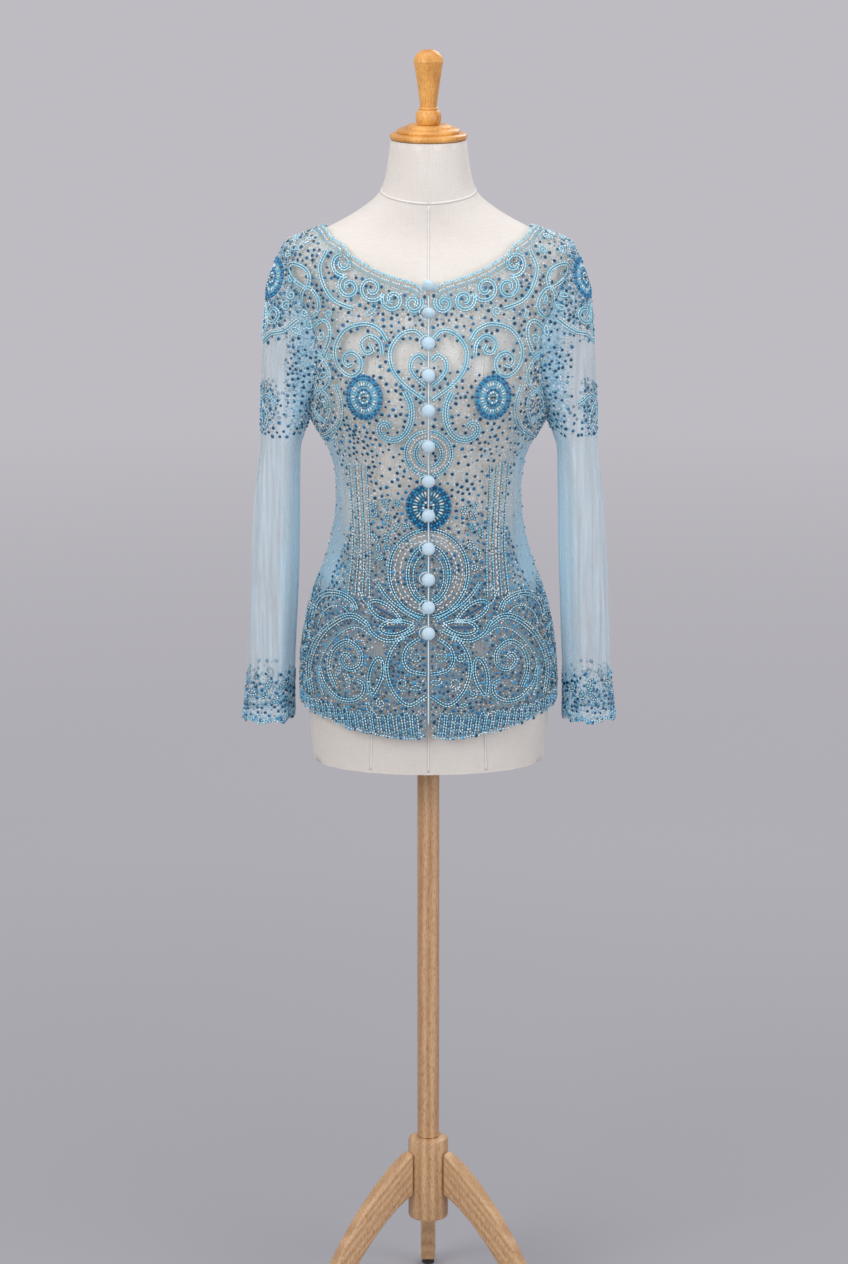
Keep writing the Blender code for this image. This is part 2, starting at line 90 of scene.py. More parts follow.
class Finish:
    """A node material, built up one texture at a time."""

    def __init__(self, name, roughness=0.6, **sockets):
        self.material = bpy.data.materials.new(name)
        self.material.use_nodes = True
        self.tree = self.material.node_tree
        self.shader = self.tree.nodes["Principled BSDF"]
        self.shader.inputs["Roughness"].default_value = roughness
        for socket, value in sockets.items():
            self.shader.inputs[socket.replace("_", " ")].default_value = value
        self.place = self.tree.nodes.new("ShaderNodeTexCoord").outputs["Object"]

    def plug(self, value, socket):
        """Links another node's output to a socket, or sets the socket to a plain value."""
        if isinstance(value, bpy.types.NodeSocket):
            self.tree.links.new(value, socket)
        else:
            socket.default_value = (*value, 1) if socket.type == "RGBA" and len(value) == 3 else value

    def node(self, kind, **inputs):
        """Adds a node. An input is given by its name, or by its number as i0, i1 and so on."""
        made = self.tree.nodes.new("ShaderNode" + kind)
        for key, value in inputs.items():
            numbered = key[0] == "i" and key[1:].isdigit()
            self.plug(value, made.inputs[int(key[1:]) if numbered else key.replace("_", " ")])
        return made

    def coordinates(self):
        return self.node("SeparateXYZ", Vector=self.place).outputs

    def out_from(self, middle_y):
        """How far each place is from an upright line."""
        place = self.coordinates()
        back = self.maths("SUBTRACT", place["Y"], middle_y)
        squares = self.maths("MULTIPLY", place["X"], place["X"]), self.maths("MULTIPLY", back, back)
        return self.maths("SQRT", self.maths("ADD", *squares))

    def stretched(self, x, y, z):
        return self.node("Mapping", Vector=self.place, Scale=(x, y, z)).outputs["Vector"]

    def noise(self, scale, detail=3.0, place=None):
        made = self.node("TexNoise", Vector=place or self.place, Scale=scale, Detail=detail)
        return made.outputs["Fac"]

    def wave(self, scale, place=None, distortion=0.0, bands="X"):
        made = self.node("TexWave", Vector=place or self.place, Scale=scale, Distortion=distortion)
        made.bands_direction = bands
        return made.outputs["Fac"]

    def ramp(self, value, *stops, constant=False):
        made = self.node("ValToRGB", Fac=value)
        made.color_ramp.interpolation = "CONSTANT" if constant else "LINEAR"
        elements = made.color_ramp.elements
        while len(elements) < len(stops):
            elements.new(0.5)
        for element, (position, colour) in zip(elements, stops):
            element.position = position
            element.color = (*colour, 1) if len(colour) == 3 else (colour[0],) * 3 + (1,)
        return made.outputs["Color"]

    def maths(self, operation, first, second=0.0, third=0.0):
        made = self.node("Math", i0=first, i1=second, i2=third)
        made.operation = operation
        return made.outputs[0]

    def blend(self, amount, first, second, mode="MIX"):
        made = self.tree.nodes.new("ShaderNodeMix")
        made.data_type, made.blend_type = "RGBA", mode
        for number, value in ((0, amount), (6, first), (7, second)):  # the colour mix's own sockets
            self.plug(value, made.inputs[number])
        return made.outputs[2]

    def bump(self, height, strength, distance):
        made = self.node("Bump", Height=height, Strength=strength, Distance=distance)
        self.tree.links.new(made.outputs["Normal"], self.shader.inputs["Normal"])

    def set(self, socket, value):
        self.tree.links.new(value, self.shader.inputs[socket])


# The inner fold of a hanging sleeve: how far out it ends at the elbow, over what width it fades, and its lean
ELBOW, FOLD_OUT, FOLD_FADE, SLEEVE_LEAN = 1.20, 0.166, 0.020, 0.045


def net_finish(name, low, high, tint, streak, waist=None):
    """Fine tulle: see-through, closer in its folds and streaks, with painted shade and highlights along the
    streaks, and the hexagon mesh as a weave.

    With a waist height it is body cloth: closer and greyer below the waist, with a plain blue strip down each
    side. With none it is a sleeve, folded double on its inner side.
    """
    net = Finish(name, roughness=0.75, Sheen_Weight=0.25, Sheen_Roughness=0.5)
    streaks = net.noise(1.0, 4.0, net.stretched(streak, streak, streak * 0.05))
    clouds = net.noise(26.0, 2.0)
    mesh = net.node("TexVoronoi", Vector=net.place, Scale=900.0)
    mesh.feature = "DISTANCE_TO_EDGE"
    threads = net.ramp(mesh.outputs["Distance"], (0.0, (1.0,)), (0.16, (0.72,)))
    close = net.maths("ADD", net.maths("MULTIPLY", streaks, 0.7), net.maths("MULTIPLY", clouds, 0.3))
    open_net = net.ramp(close, (0.36, (low,)), (0.66, (high,)))
    cover = net.maths("MULTIPLY", open_net, threads)
    # painted shade and highlights: the tint is darker and lighter along the fold streaks
    painted_fold_shade, painted_fold_light = tuple(c * 0.80 for c in tint), tuple(min(1, c * 1.10) for c in tint)
    colour = net.ramp(streaks, (0.35, painted_fold_shade), (0.68, painted_fold_light))
    place = net.coordinates()
    out = net.maths("ABSOLUTE", place["X"])
    if waist is None:
        lean = net.maths("MULTIPLY", net.maths("SUBTRACT", place["Z"], ELBOW), SLEEVE_LEAN)
        inner = net.ramp(net.maths("ADD", out, lean), (FOLD_OUT, (1.0,)), (FOLD_OUT + FOLD_FADE, (0.0,)))
        cover = net.maths("ADD", cover, net.maths("MULTIPLY", inner, 0.20))
        colour = net.blend(net.maths("MULTIPLY", inner, 0.8), colour, (0.34, 0.60, 0.75))
    else:
        drop = net.maths("MULTIPLY", net.maths("SUBTRACT", place["Z"], waist), -14.0)
        below = net.ramp(drop, (0.0, (0.0,)), (1.0, (1.0,)))
        aside = net.ramp(out, (PLAIN_OUT, (0.0,)), (PLAIN_OUT + 0.026, (1.0,)))
        from_middle = net.maths("ABSOLUTE", net.maths("SUBTRACT", place["Z"], PLAIN_MIDDLE))
        plain = net.maths("MULTIPLY", aside, net.ramp(from_middle, (0.08, (1.0,)), (0.14, (0.0,))))
        cover = net.maths("ADD", cover, net.maths("MULTIPLY", below, 0.14))
        colour = net.blend(below, colour, (0.20, 0.28, 0.35))
        cover = net.maths("ADD", cover, net.maths("MULTIPLY", plain, 0.30))
        colour = net.blend(plain, colour, (0.42, 0.66, 0.80))
    net.set("Alpha", cover)
    net.set("Base Color", colour)
    net.bump(mesh.outputs["Distance"], 0.25, 0.0003)
    return net.material


def rise_over_waist(finish):
    """0 at the waist and below it, and 1 from 20 cm above it."""
    return finish.maths("MULTIPLY", finish.maths("SUBTRACT", finish.coordinates()["Z"], WAIST), 5.0)


STITCH = 0.0038  # the length of one stitch and its bead along a strand


def cord_finish():
    """Soutache sewn with pale beads: light ridges, and valleys between the beads darkened as painted shade,
    all along the strand.
    """
    cord = Finish("soutache", roughness=0.38, Sheen_Weight=0.2)
    along = cord.tree.nodes.new("ShaderNodeAttribute")
    along.attribute_name = "along"
    wave = cord.maths("SINE", cord.maths("MULTIPLY", along.outputs["Fac"], 2 * math.pi / STITCH))
    ridge = cord.ramp(cord.maths("MULTIPLY_ADD", wave, 0.5, 0.5), (0.22, (0.0,)), (0.62, (1.0,)))
    dye = cord.noise(60.0)
    crest = cord.ramp(dye, (0.34, (0.30, 0.66, 0.84)), (0.50, (0.52, 0.82, 0.92)), (0.66, (0.84, 0.95, 0.97)))
    # painted shade between the beads: the cord's blue, darkened in the valleys, deepest below the waist
    painted_valley_shade = cord.ramp(rise_over_waist(cord), (0.0, (0.060, 0.28, 0.43)), (1.0, (0.30, 0.60, 0.72)))
    cord.set("Base Color", cord.blend(ridge, painted_valley_shade, crest))
    cord.bump(ridge, 0.6, 0.0004)
    return cord.material


def painted_shadow_finish():
    """The dark strips of painted shadow under the cords: deep blue below the waist, and paler towards the
    shoulders.
    """
    tape = Finish("cord_painted_shadow", roughness=0.9)
    mottle = tape.maths("ADD", rise_over_waist(tape), tape.maths("MULTIPLY", tape.noise(150.0), 0.25))
    tape.set("Base Color", tape.ramp(mottle, (0.0, (0.022, 0.095, 0.160)), (1.0, (0.27, 0.50, 0.60))))
    return tape.material


def bead_finish():
    """Cut glass and foil-backed beads; each bead's own tone picks its colour."""
    bead = Finish("glass_beads", roughness=0.30, Coat_Weight=0.25, Coat_Roughness=0.10)
    tone = bead.tree.nodes.new("ShaderNodeAttribute")
    tone.attribute_name = "tone"
    stops = [(i / 8, colour) for i, colour in enumerate(BEAD_COLOURS.values())]
    colour = bead.ramp(tone.outputs["Fac"], *stops, constant=True)
    glints = bead.ramp(bead.noise(420.0, 2.0), (0.35, (0.72, 0.72, 0.72)), (0.65, (1.0, 1.0, 1.0)))
    bead.set("Base Color", bead.blend(1.0, colour, glints, "MULTIPLY"))
    return bead.material


def woven_finish(name, dark, light, thread, roughness, sheen):
    """Plain weave: two crossed sets of threads with slubs and a faint change of shade."""
    cloth = Finish(name, roughness=roughness, Sheen_Weight=sheen, Sheen_Roughness=0.45)
    warp = cloth.wave(thread, cloth.stretched(1, 1, 0.15), 1.2, "X")
    weft = cloth.wave(thread, cloth.stretched(0.15, 0.15, 1), 1.2, "Z")
    weave = cloth.maths("MULTIPLY", warp, weft)
    slubs = (cloth.noise(1.0, 4.0, cloth.stretched(*way)) for way in ((70, 70, 620), (620, 620, 30)))
    slub = cloth.maths("MULTIPLY", cloth.maths("ADD", *slubs), 0.5)
    clouds = cloth.maths("MULTIPLY", cloth.noise(9.0), 0.4)
    shade = cloth.maths("ADD", cloth.maths("MULTIPLY", slub, 0.6), clouds)
    ground = cloth.ramp(shade, (0.38, dark), (0.62, light))
    threads = cloth.ramp(weave, (0.1, dark), (0.7, light))
    cloth.set("Base Color", cloth.blend(0.16, ground, threads, "MULTIPLY"))
    cloth.bump(cloth.maths("ADD", weave, slub), 0.35, 0.0003)
    return cloth.material


def wood_finish(name, pale, deep, roughness, coat, grain_way="upright"):
    """Turned or sawn wood: long grain, small pores and a thin varnish."""
    wood = Finish(name, roughness=roughness, Coat_Weight=coat, Coat_Roughness=0.12)
    if grain_way == "sloping":  # along boards that lean out at 45 degrees from the middle of the stand
        out, up = wood.out_from(BODY_AXIS.y), wood.coordinates()["Z"]
        across = wood.maths("MULTIPLY", wood.maths("ADD", out, up), 30.0)
        along = wood.maths("MULTIPLY", wood.maths("SUBTRACT", out, up), 2.0)
        grain_place = wood.node("CombineXYZ", X=across, Y=along).outputs["Vector"]
    else:
        grain_place = wood.stretched(*{"upright": (26, 26, 2.2), "turned": (9, 9, 9)}[grain_way])
    rings = wood.wave(0.9, grain_place, 5.5, "X")
    fibres = wood.noise(9.0, 6.0, grain_place)
    pores = wood.noise(1.0, 2.0, wood.stretched(620, 620, 150))
    grain = wood.maths("ADD", wood.maths("MULTIPLY", rings, 0.45), wood.maths("MULTIPLY", fibres, 0.55))
    between = tuple((a + b) / 2 for a, b in zip(deep, pale))
    base = wood.ramp(grain, (0.22, deep), (0.52, between), (0.80, pale))
    flecks = wood.ramp(pores, (0.36, (0.62, 0.50, 0.40)), (0.50, (1.0, 1.0, 1.0)))
    wood.set("Base Color", wood.blend(0.62, base, flecks, "MULTIPLY"))
    wood.set("Roughness", wood.ramp(grain, (0.2, (roughness * 0.8,)), (0.8, (roughness * 1.25,))))
    wood.bump(grain, 0.12, 0.0004)
    return wood.material


def plain_finish(name, dark, light, scale, roughness):
    """A finely mottled finish with a slight tooth."""
    made = Finish(name, roughness=roughness)
    made.set("Base Color", made.ramp(made.noise(scale), (0.35, dark), (0.65, light)))
    made.bump(made.noise(scale * 4), 0.2, 0.0004)
    return made.material


# ---------------------------------------------------------------- meshes


def deselect():
    """Leaves nothing selected, in object mode."""
    if bpy.context.view_layer.objects.active and bpy.context.mode != "OBJECT":
        bpy.ops.object.mode_set(mode="OBJECT")
    bpy.ops.object.select_all(action="DESELECT")


def as_piece(name, mesh, *materials):
    for material in materials:
        mesh.materials.append(material)
    piece = bpy.data.objects.new(name, mesh)
    bpy.context.scene.collection.objects.link(piece)
    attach(piece, "root")
    return piece


def apply_modifier(piece, kind, **settings):
    modifier = piece.modifiers.new(kind.lower(), kind)
    for key, value in settings.items():
        setattr(modifier, key, value)
    deselect()
    bpy.context.view_layer.objects.active = piece
    piece.select_set(True)
    bpy.ops.object.modifier_apply(modifier=modifier.name)


def subdivide_smoothly(piece, levels):
    apply_modifier(piece, "SUBSURF", levels=levels, render_levels=levels)


def merged_copy(node):
    """The CAD node's mesh with its loose triangles joined up."""
    shape = bmesh.new()
    shape.from_mesh(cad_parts[node].data)
    bmesh.ops.remove_doubles(shape, verts=shape.verts, dist=1e-5)
    return shape


def keep_outer_wall(shape, outward):
    """Deletes the inner wall and the rim of a cloth panel, leaving the face that the beads are sewn to."""
    shape.faces.ensure_lookup_table()
    shape.normal_update()
    turned_out = [f for f in shape.faces if f.normal.dot(outward) > 0.9]
    seed = max(turned_out, key=lambda face: face.calc_center_median().dot(outward))
    kept, waiting = {seed}, [seed]
    while waiting:
        face = waiting.pop()
        for edge in face.edges:
            for other in edge.link_faces:
                if other not in kept and other.normal.dot(face.normal) > 0.45:
                    kept.add(other)
                    waiting.append(other)
    bmesh.ops.delete(shape, geom=[f for f in shape.faces if f not in kept], context="FACES")
    bmesh.ops.join_triangles(shape, faces=shape.faces, angle_face_threshold=1.2, angle_shape_threshold=1.2)


def mesh_of(name, shape):
    mesh = bpy.data.meshes.new(name)
    shape.to_mesh(mesh)
    shape.free()
    mesh.shade_smooth()
    return mesh


class Shell:
    """The outer face of one cloth panel: what cords and beads are laid on."""

    def __init__(self, piece):
        mesh = piece.data
        self.points = [v.co.copy() for v in mesh.vertices]
        polygons = [tuple(p.vertices) for p in mesh.polygons]
        self.tree = BVHTree.FromPolygons(self.points, polygons)
        mesh.calc_loop_triangles()
        triangles = np.array([t.vertices for t in mesh.loop_triangles])
        self.corners = np.array([tuple(p) for p in self.points])[triangles]
        self.rims = self.find_rims(mesh)

    def find_rims(self, mesh):
        """Each open edge of the panel as an ordered ring of points."""
        uses = {}
        for polygon in mesh.polygons:
            for key in polygon.edge_keys:
                uses[key] = uses.get(key, 0) + 1
        beside = {}
        for (a, b), count in uses.items():
            if count == 1:
                beside.setdefault(a, []).append(b)
                beside.setdefault(b, []).append(a)
        rings = []
        while beside:
            start = next(iter(beside))
            ring, at = [], start
            while at is not None:
                ring.append(at)
                following = [n for n in beside.pop(at) if n in beside]
                at = following[0] if following else None
            rings.append([self.points[i] for i in ring])
        return rings

    def nearest(self, point):
        place, facing, _, _ = self.tree.find_nearest(point)
        return place, facing

    def seen_from(self, heading, across, height, centre=BODY_AXIS):
        """Where a line from this side first meets the panel, and how the cloth faces there.

        Across and height are in the upright plane that faces that side.
        """
        turn = math.radians(heading)
        ahead = Vector((math.sin(turn), -math.cos(turn), 0))
        right = Vector((math.cos(turn), math.sin(turn), 0))
        start = centre + ahead + right * across
        start.z = height
        place, facing, _, _ = self.tree.ray_cast(start, -ahead, 2.0)
        return None if place is None or facing.dot(ahead) < 0.12 else (place, facing)


def strew(shell, count, rng):
    """Random points all over a panel, evenly by area, with the way that the cloth faces there."""
    a, b, c = (shell.corners[:, i] for i in range(3))
    cross = np.cross(b - a, c - a)
    areas = np.linalg.norm(cross, axis=1)
    chosen = rng.choice(len(areas), size=count, p=areas / areas.sum())
    u, v = rng.random((2, count))
    flip = u + v > 1
    u[flip], v[flip] = 1 - u[flip], 1 - v[flip]
    points = a[chosen] + u[:, None] * (b - a)[chosen] + v[:, None] * (c - a)[chosen]
    facings = cross[chosen] / areas[chosen, None]
    return points, facings


# ---------------------------------------------------------------- cloth

Panel = namedtuple("Panel", "node flat area outward")
PANELS = [
    Panel("front_left", (0.30, 0.67), 0.135, Vector((0, -1, 0))),
    Panel("front_right", (0.30, 0.67), 0.135, Vector((0, -1, 0))),
    Panel("back", (0.50, 0.66), 0.270, Vector((0, 1, 0))),
    Panel("sleeve_left", (0.34, 0.64), 0.165, Vector((1, 0, 0))),
    Panel("sleeve_right", (0.34, 0.64), 0.165, Vector((-1, 0, 0))),
]
SLEEVE_AXIS_X, SLEEVE_AXIS_Y = 0.200, -0.034

# Where the edges of the body panels meet, on the wearer's left
HEM_SIDE, UNDERARM, TIP = (0.166, -0.030, 0.848), (0.150, -0.030, 1.213), (0.1845, -0.030, 1.443)
NECK, NECK_DRAWN_IN = (0.130, -0.030, 1.468), 0.010
HEM_MIDDLE, NECK_MIDDLE = (0, -0.151, 0.820), (0, -0.113, 1.405)
BACK_HEM_MIDDLE, BACK_NECK_MIDDLE = (0, 0.106, 0.844), (0, 0.038, 1.438)

# The scoop of the front neck, whose edge is let down beside the middle and carried in below the shoulder
LET_DOWN, LET_DOWN_TO = 0.0070, 0.105  # how far, and how far out from the middle this goes
CARRIED_IN, CARRIED_FROM = 0.025, 58  # how far, and from how many degrees round the body to its side
SCOOP_REACH = 0.050  # how far below the edge the cloth still follows it
ARMHOLE_OUT = 0.146  # an edge further out than this belongs to the armhole

# Scallops of each lower edge: how many go round, how deep they are, and how far up the cloth follows
Scallops = namedtuple("Scallops", "count depth")
CUFF_SCALLOPS, HEM_SCALLOPS, SCALLOP_REACH = Scallops(8, 0.0080), Scallops(44, 0.0034), 0.020


def axis_of(node):
    side = {"left": 1, "right": -1}[node.split("_")[1]] if node.startswith("sleeve") else 0
    return Vector((side * SLEEVE_AXIS_X, SLEEVE_AXIS_Y, 0)) if side else BODY_AXIS


def rounded_notches(turn, count, depth):
    """How far a scalloped edge rises at this turn round the body: lobes with a notch between each two."""
    lobe = 2 * ((turn * count) % 1) - 1
    return depth * (1 - math.sqrt(max(0.0, 1 - lobe * lobe)))


def crease(piece, node):
    """Adds the small folds of worn net, and cuts the lower edge into scallops."""
    sleeve = node.startswith("sleeve")
    axis = axis_of(node)
    mesh = piece.data
    low = min(v.co.z for v in mesh.vertices)
    facings = [v.normal.copy() for v in mesh.vertices]
    for vertex, facing in zip(mesh.vertices, facings):
        x, y, z = vertex.co
        turn = math.atan2(x - axis.x, axis.y - y) / (2 * math.pi)
        if sleeve:
            around = Vector((math.cos(turn * 2 * math.pi), math.sin(turn * 2 * math.pi), 0))
            strength = min(1.0, max(0.0, (1.40 - z) / 0.08))  # none at the shoulder, on the form
            fold = 0.0022 * noise.noise(around * 3.4 + Vector((axis.x * 9, 0, z * 1.7)))
            fold += 0.0012 * noise.noise(around * 7.5 + Vector((0, axis.x * 7, z * 4.5)))
            edge, scallops = low, CUFF_SCALLOPS
        else:
            strength = 0.35 if z > 1.36 else 1.0
            place = Vector((x, y, z))
            fold = 0.0011 * noise.noise(place * 48) + 0.0006 * noise.noise(place * 110)
            edge, scallops = hem_height(turn), HEM_SCALLOPS
        vertex.co += facing * fold * strength
        near_edge = max(0.0, 1 - (z - edge) / SCALLOP_REACH)
        vertex.co.z += rounded_notches(turn + 0.5, *scallops) * near_edge


def slide(vertex, move, form):
    """Moves a point of the cloth over the form, keeping its height above it."""
    gap = form.find_nearest(vertex.co)[3]
    under, facing, _, _ = form.find_nearest(vertex.co + move)
    vertex.co = under + facing * gap


def close_neck(piece, form):
    """Draws the cloth in along the shoulder at the corner of the neck."""
    for vertex in piece.data.vertices:
        corner = Vector((math.copysign(NECK[0] + NECK_DRAWN_IN, vertex.co.x), NECK[1], NECK[2]))
        share = max(0.0, 1 - (vertex.co - corner).length / 0.040)
        if share:
            slide(vertex, Vector((-math.copysign(NECK_DRAWN_IN, vertex.co.x), 0, 0.004)) * share, form)


def round_neck(piece, form):
    """Makes the front of the neck a scoop, and takes the cloth below its edge along."""
    moves = []
    for place in Shell(piece).rims[0]:
        out, turn = abs(place.x), math.degrees(math.atan2(abs(place.x), BODY_AXIS.y - place.y))
        if place.z < NECK_MIDDLE[2] - 0.001 or out > ARMHOLE_OUT:
            continue
        down = LET_DOWN * math.sin(math.pi * min(out / LET_DOWN_TO, 1.0))
        share = min(max(turn - CARRIED_FROM, 0) / (90 - CARRIED_FROM), 1.0)
        inward = CARRIED_IN * math.sin(math.pi * share) ** 2
        moves.append((place, Vector((-math.copysign(inward, place.x), 0, -down))))
    rim = KDTree(len(moves))
    for i, (place, _) in enumerate(moves):
        rim.insert(place, i)
    rim.balance()
    for vertex in piece.data.vertices:
        _, nearest, far = rim.find(vertex.co)
        share = max(0.0, 1 - far / SCOOP_REACH)
        if share and moves[nearest][1].length > 0.0001:
            slide(vertex, moves[nearest][1] * share, form)


def hem_height(turn):
    """The height of the hem at this turn round the body, lowest at the centre front."""
    angle, side = abs(turn) * 360, HEM_SIDE[2]
    if angle < 90:
        return HEM_MIDDLE[2] + (side - HEM_MIDDLE[2]) * math.sin(math.radians(angle)) ** 2
    return side - (side - BACK_HEM_MIDDLE[2]) * math.sin(math.radians(angle - 90)) ** 2


def make_cloth(finishes):
    """Every panel as a thin wall of net. Returns the pieces, and the shells that the beading is laid on."""
    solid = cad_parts["form_torso"].data
    places, corners = [v.co.copy() for v in solid.vertices], [tuple(p.vertices) for p in solid.polygons]
    form = BVHTree.FromPolygons(places, corners)
    pieces, shells = {}, {}
    for panel in PANELS:
        shape = merged_copy(panel.node)
        keep_outer_wall(shape, panel.outward)
        finish = finishes["sleeve_net" if panel.node.startswith("sleeve") else "body_net"]
        piece = as_piece(f"{panel.node}_net", mesh_of(f"{panel.node}_net", shape), finish)
        subdivide_smoothly(piece, 2)
        crease(piece, panel.node)
        if not panel.node.startswith("sleeve"):
            close_neck(piece, form)
        if panel.node.startswith("front"):
            round_neck(piece, form)
        shells[panel.node] = Shell(piece)
        apply_modifier(piece, "SOLIDIFY", thickness=NET_WALL, offset=-1, use_even_offset=True)
        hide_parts(panel.node)
        pieces[panel.node] = piece
    return pieces, shells


# ---------------------------------------------------------------- cord work


def smooth_line(points, step=CORD_STEP):
    """An even run of points along a smooth curve through these."""
    points = [Vector(p) for p in points]
    if len(points) < 3:
        return evenly(points, step)
    ends = [2 * points[0] - points[1]] + points + [2 * points[-1] - points[-2]]
    fine = []
    for a, b, c, d in zip(ends, ends[1:], ends[2:], ends[3:]):
        straight, square, cube = c - a, 2 * a - 5 * b + 4 * c - d, 3 * b - a - 3 * c + d
        for i in range(12):
            t = i / 12
            fine.append(0.5 * (2 * b + straight * t + square * t**2 + cube * t**3))
    return evenly(fine + [points[-1]], step)


def evenly(points, step):
    """The same line with its points this far apart."""
    run = [0.0]
    for a, b in zip(points, points[1:]):
        run.append(run[-1] + (b - a).length)
    count = max(2, round(run[-1] / step) + 1)
    spaced, at = [], 0
    for i in range(count):
        wanted = run[-1] * i / (count - 1)
        while at < len(run) - 2 and run[at + 1] < wanted:
            at += 1
        length = run[at + 1] - run[at]
        spaced.append(points[at].lerp(points[at + 1], (wanted - run[at]) / length if length else 0))
    return spaced


def beside(line, offset):
    """A line running alongside another in its plane."""
    moved = []
    for i, point in enumerate(line):
        along = line[min(i + 1, len(line) - 1)] - line[max(i - 1, 0)]
        along = along.normalized() if along.length else Vector((1, 0))
        moved.append(point + Vector((-along.y, along.x)) * offset)
    return moved


def ellipse(across, height, half_width, half_height, start=0, end=360, steps=28):
    """An ellipse, or the part of it between two angles in degrees from its top."""
    angles = [math.radians(start + (end - start) * i / steps) for i in range(steps + 1)]
    return [(across + half_width * math.sin(a), height + half_height * math.cos(a)) for a in angles]


def scroll(across, height, radius, start, turns, close=0.25):
    """A spiral inwards from its radius; start is in degrees from the top, and turns may be negative."""
    steps = int(abs(turns) * 20)
    points = []
    for i in range(steps + 1):
        t = i / steps
        angle = math.radians(start + 360 * turns * t)
        reach = radius * (1 - (1 - close) * t)
        points.append((across + reach * math.sin(angle), height + reach * math.cos(angle)))
    return points


def leaf(across, height, length, width, lean, bend=0.0):
    """A pointed leaf or paisley; lean is its tip's way in degrees from straight up, and bend curls it."""
    sin, cos = math.sin(math.radians(lean)), math.cos(math.radians(lean))
    points = []
    for i in range(25):
        t = i / 24
        up = math.sin(math.pi * t)
        side = math.sin(2 * math.pi * t) * (1 - 0.55 * up)
        x, y = width * side * 0.9 + bend * length * up * up, length * (up - 0.5)
        points.append((across + x * cos + y * sin, height - x * sin + y * cos))
    return points


def cell_of(point, size):
    """The cell of a coarse grid that a point lies in."""
    return tuple(int(c // size) for c in point)


class Work:
    """What is sewn to one panel: strands of cord, beads, and where they lie, so that others keep clear."""

    SEWN_CELL, STREWN_CELL = 0.006, 0.015  # the grids that places are noted on

    def __init__(self, name, shell):
        self.name, self.shell = name, shell
        self.strands, self.tapes, self.beads = [], [], []
        self.sewn, self.strewn = {}, {}

    @staticmethod
    def crowded(notes, cell, point, reach):
        """Whether a place noted in this cell or the ones round it comes within reach of the point."""
        x, y, z = cell
        for i, j, k in product((-1, 0, 1), repeat=3):
            for px, py, pz, held in notes.get((x + i, y + j, z + k), ()):
                room = reach + held
                if (px - point[0]) ** 2 + (py - point[1]) ** 2 + (pz - point[2]) ** 2 < room * room:
                    return True
        return False

    def claim(self, point, reach):
        self.sewn.setdefault(cell_of(point, self.SEWN_CELL), []).append((*point, reach))

    def clear_at(self, point, reach):
        return not self.crowded(self.sewn, cell_of(point, self.SEWN_CELL), point, reach)

    def apart(self, kind, point, space):
        """Whether no bead of this kind was strewn within this space; if so, it notes this one."""
        held, cell = self.strewn.setdefault(kind, {}), cell_of(point, self.STREWN_CELL)
        if self.crowded(held, cell, point, space):
            return False
        held.setdefault(cell, []).append((*point, 0.0))
        return True

    def bead(self, kind, place, facing, tone, size=SEED, along=None, length=1.0):
        self.beads.append((kind, place, facing, tone, size, along, length))
        self.claim(place, size * max(1.0, length * 0.8))

    def strand(self, places):
        """Sews one strand through points that each have the way the cloth faces."""
        if len(places) > 2:
            self.strands.append(places)
            # the dark strip of painted shadow under the strand
            self.tapes.append((places, PAINTED_SHADOW_HALF))
            for place, _ in places:
                self.claim(place, CORD_HALF)


def laid(work, line, heading, centre):
    """The stretches of a flat line that fall on a panel."""
    stretch, stretches = [], []
    for point in line:
        hit = work.shell.seen_from(heading, point.x, point.y, centre)
        if hit and (not stretch or (hit[0] - stretch[-1][0]).length < 0.012):
            stretch.append(hit)
        else:
            stretches.append(stretch)
            stretch = [hit] if hit else []
    stretches.append(stretch)
    return [s for s in stretches if len(s) > 2]


# A line of parallel strands, and the finish of the row of beads down its side where it has one
Drawing = namedtuple("Drawing", "points strands row", defaults=(2, None))


def sew_drawing(work, drawing, mirror, heading=FRONT, centre=BODY_AXIS):
    """Lays parallel strands along a drawn line, and a row of beads down one side where it has one."""
    line = smooth_line([(mirror * x, z) for x, z in drawing.points])
    for i in range(drawing.strands):
        offset = (i - (drawing.strands - 1) / 2) * STRAND_GAP
        for stretch in laid(work, evenly(beside(line, offset), CORD_STEP), heading, centre):
            work.strand(stretch)
    if drawing.row is not None:
        side = (drawing.strands / 2 + 0.40) * STRAND_GAP * mirror
        for stretch in laid(work, evenly(beside(line, side), 0.0036), heading, centre):
            bead_row(work, stretch, drawing.row)


def bead_row(work, places, tone, size=0.00085, length=1.55):
    """Small long beads end to end, turned along their row."""
    for i, (place, facing) in enumerate(places):
        along = places[min(i + 1, len(places) - 1)][0] - places[max(i - 1, 0)][0]
        work.bead("seed", place, facing, tone, size, along, length)


def add_tube(points, faces, runs, strand, sides, half, rise):
    """A low tube along one strand on the cloth, closed at both ends. A strip of painted shadow has a flat
    side down.
    """
    first, run = len(points), 0.0
    if sides == PAINTED_SHADOW_SIDES:
        angles, seat = [math.pi / 2, math.pi, 0], 0.35
    else:
        angles, seat = [2 * math.pi * (i + 0.25) / sides for i in range(sides)], 0.85
    for i, (place, facing) in enumerate(strand):
        before, after = strand[max(i - 1, 0)][0], strand[min(i + 1, len(strand) - 1)][0]
        ahead = (after - before).normalized()
        across = facing.cross(ahead).normalized()
        run += (place - before).length
        for angle in angles:
            points.append(place + across * half * math.cos(angle) + facing * rise * (math.sin(angle) + seat))
            runs.append(run)
    last = len(strand) - 1
    for i in range(last):
        for j in range(sides):
            a, b = first + i * sides + j, first + i * sides + (j + 1) % sides
            faces.append((a, b, b + sides, a + sides))
    faces.append(tuple(first + j for j in range(sides))[::-1])
    faces.append(tuple(first + last * sides + j for j in range(sides)))


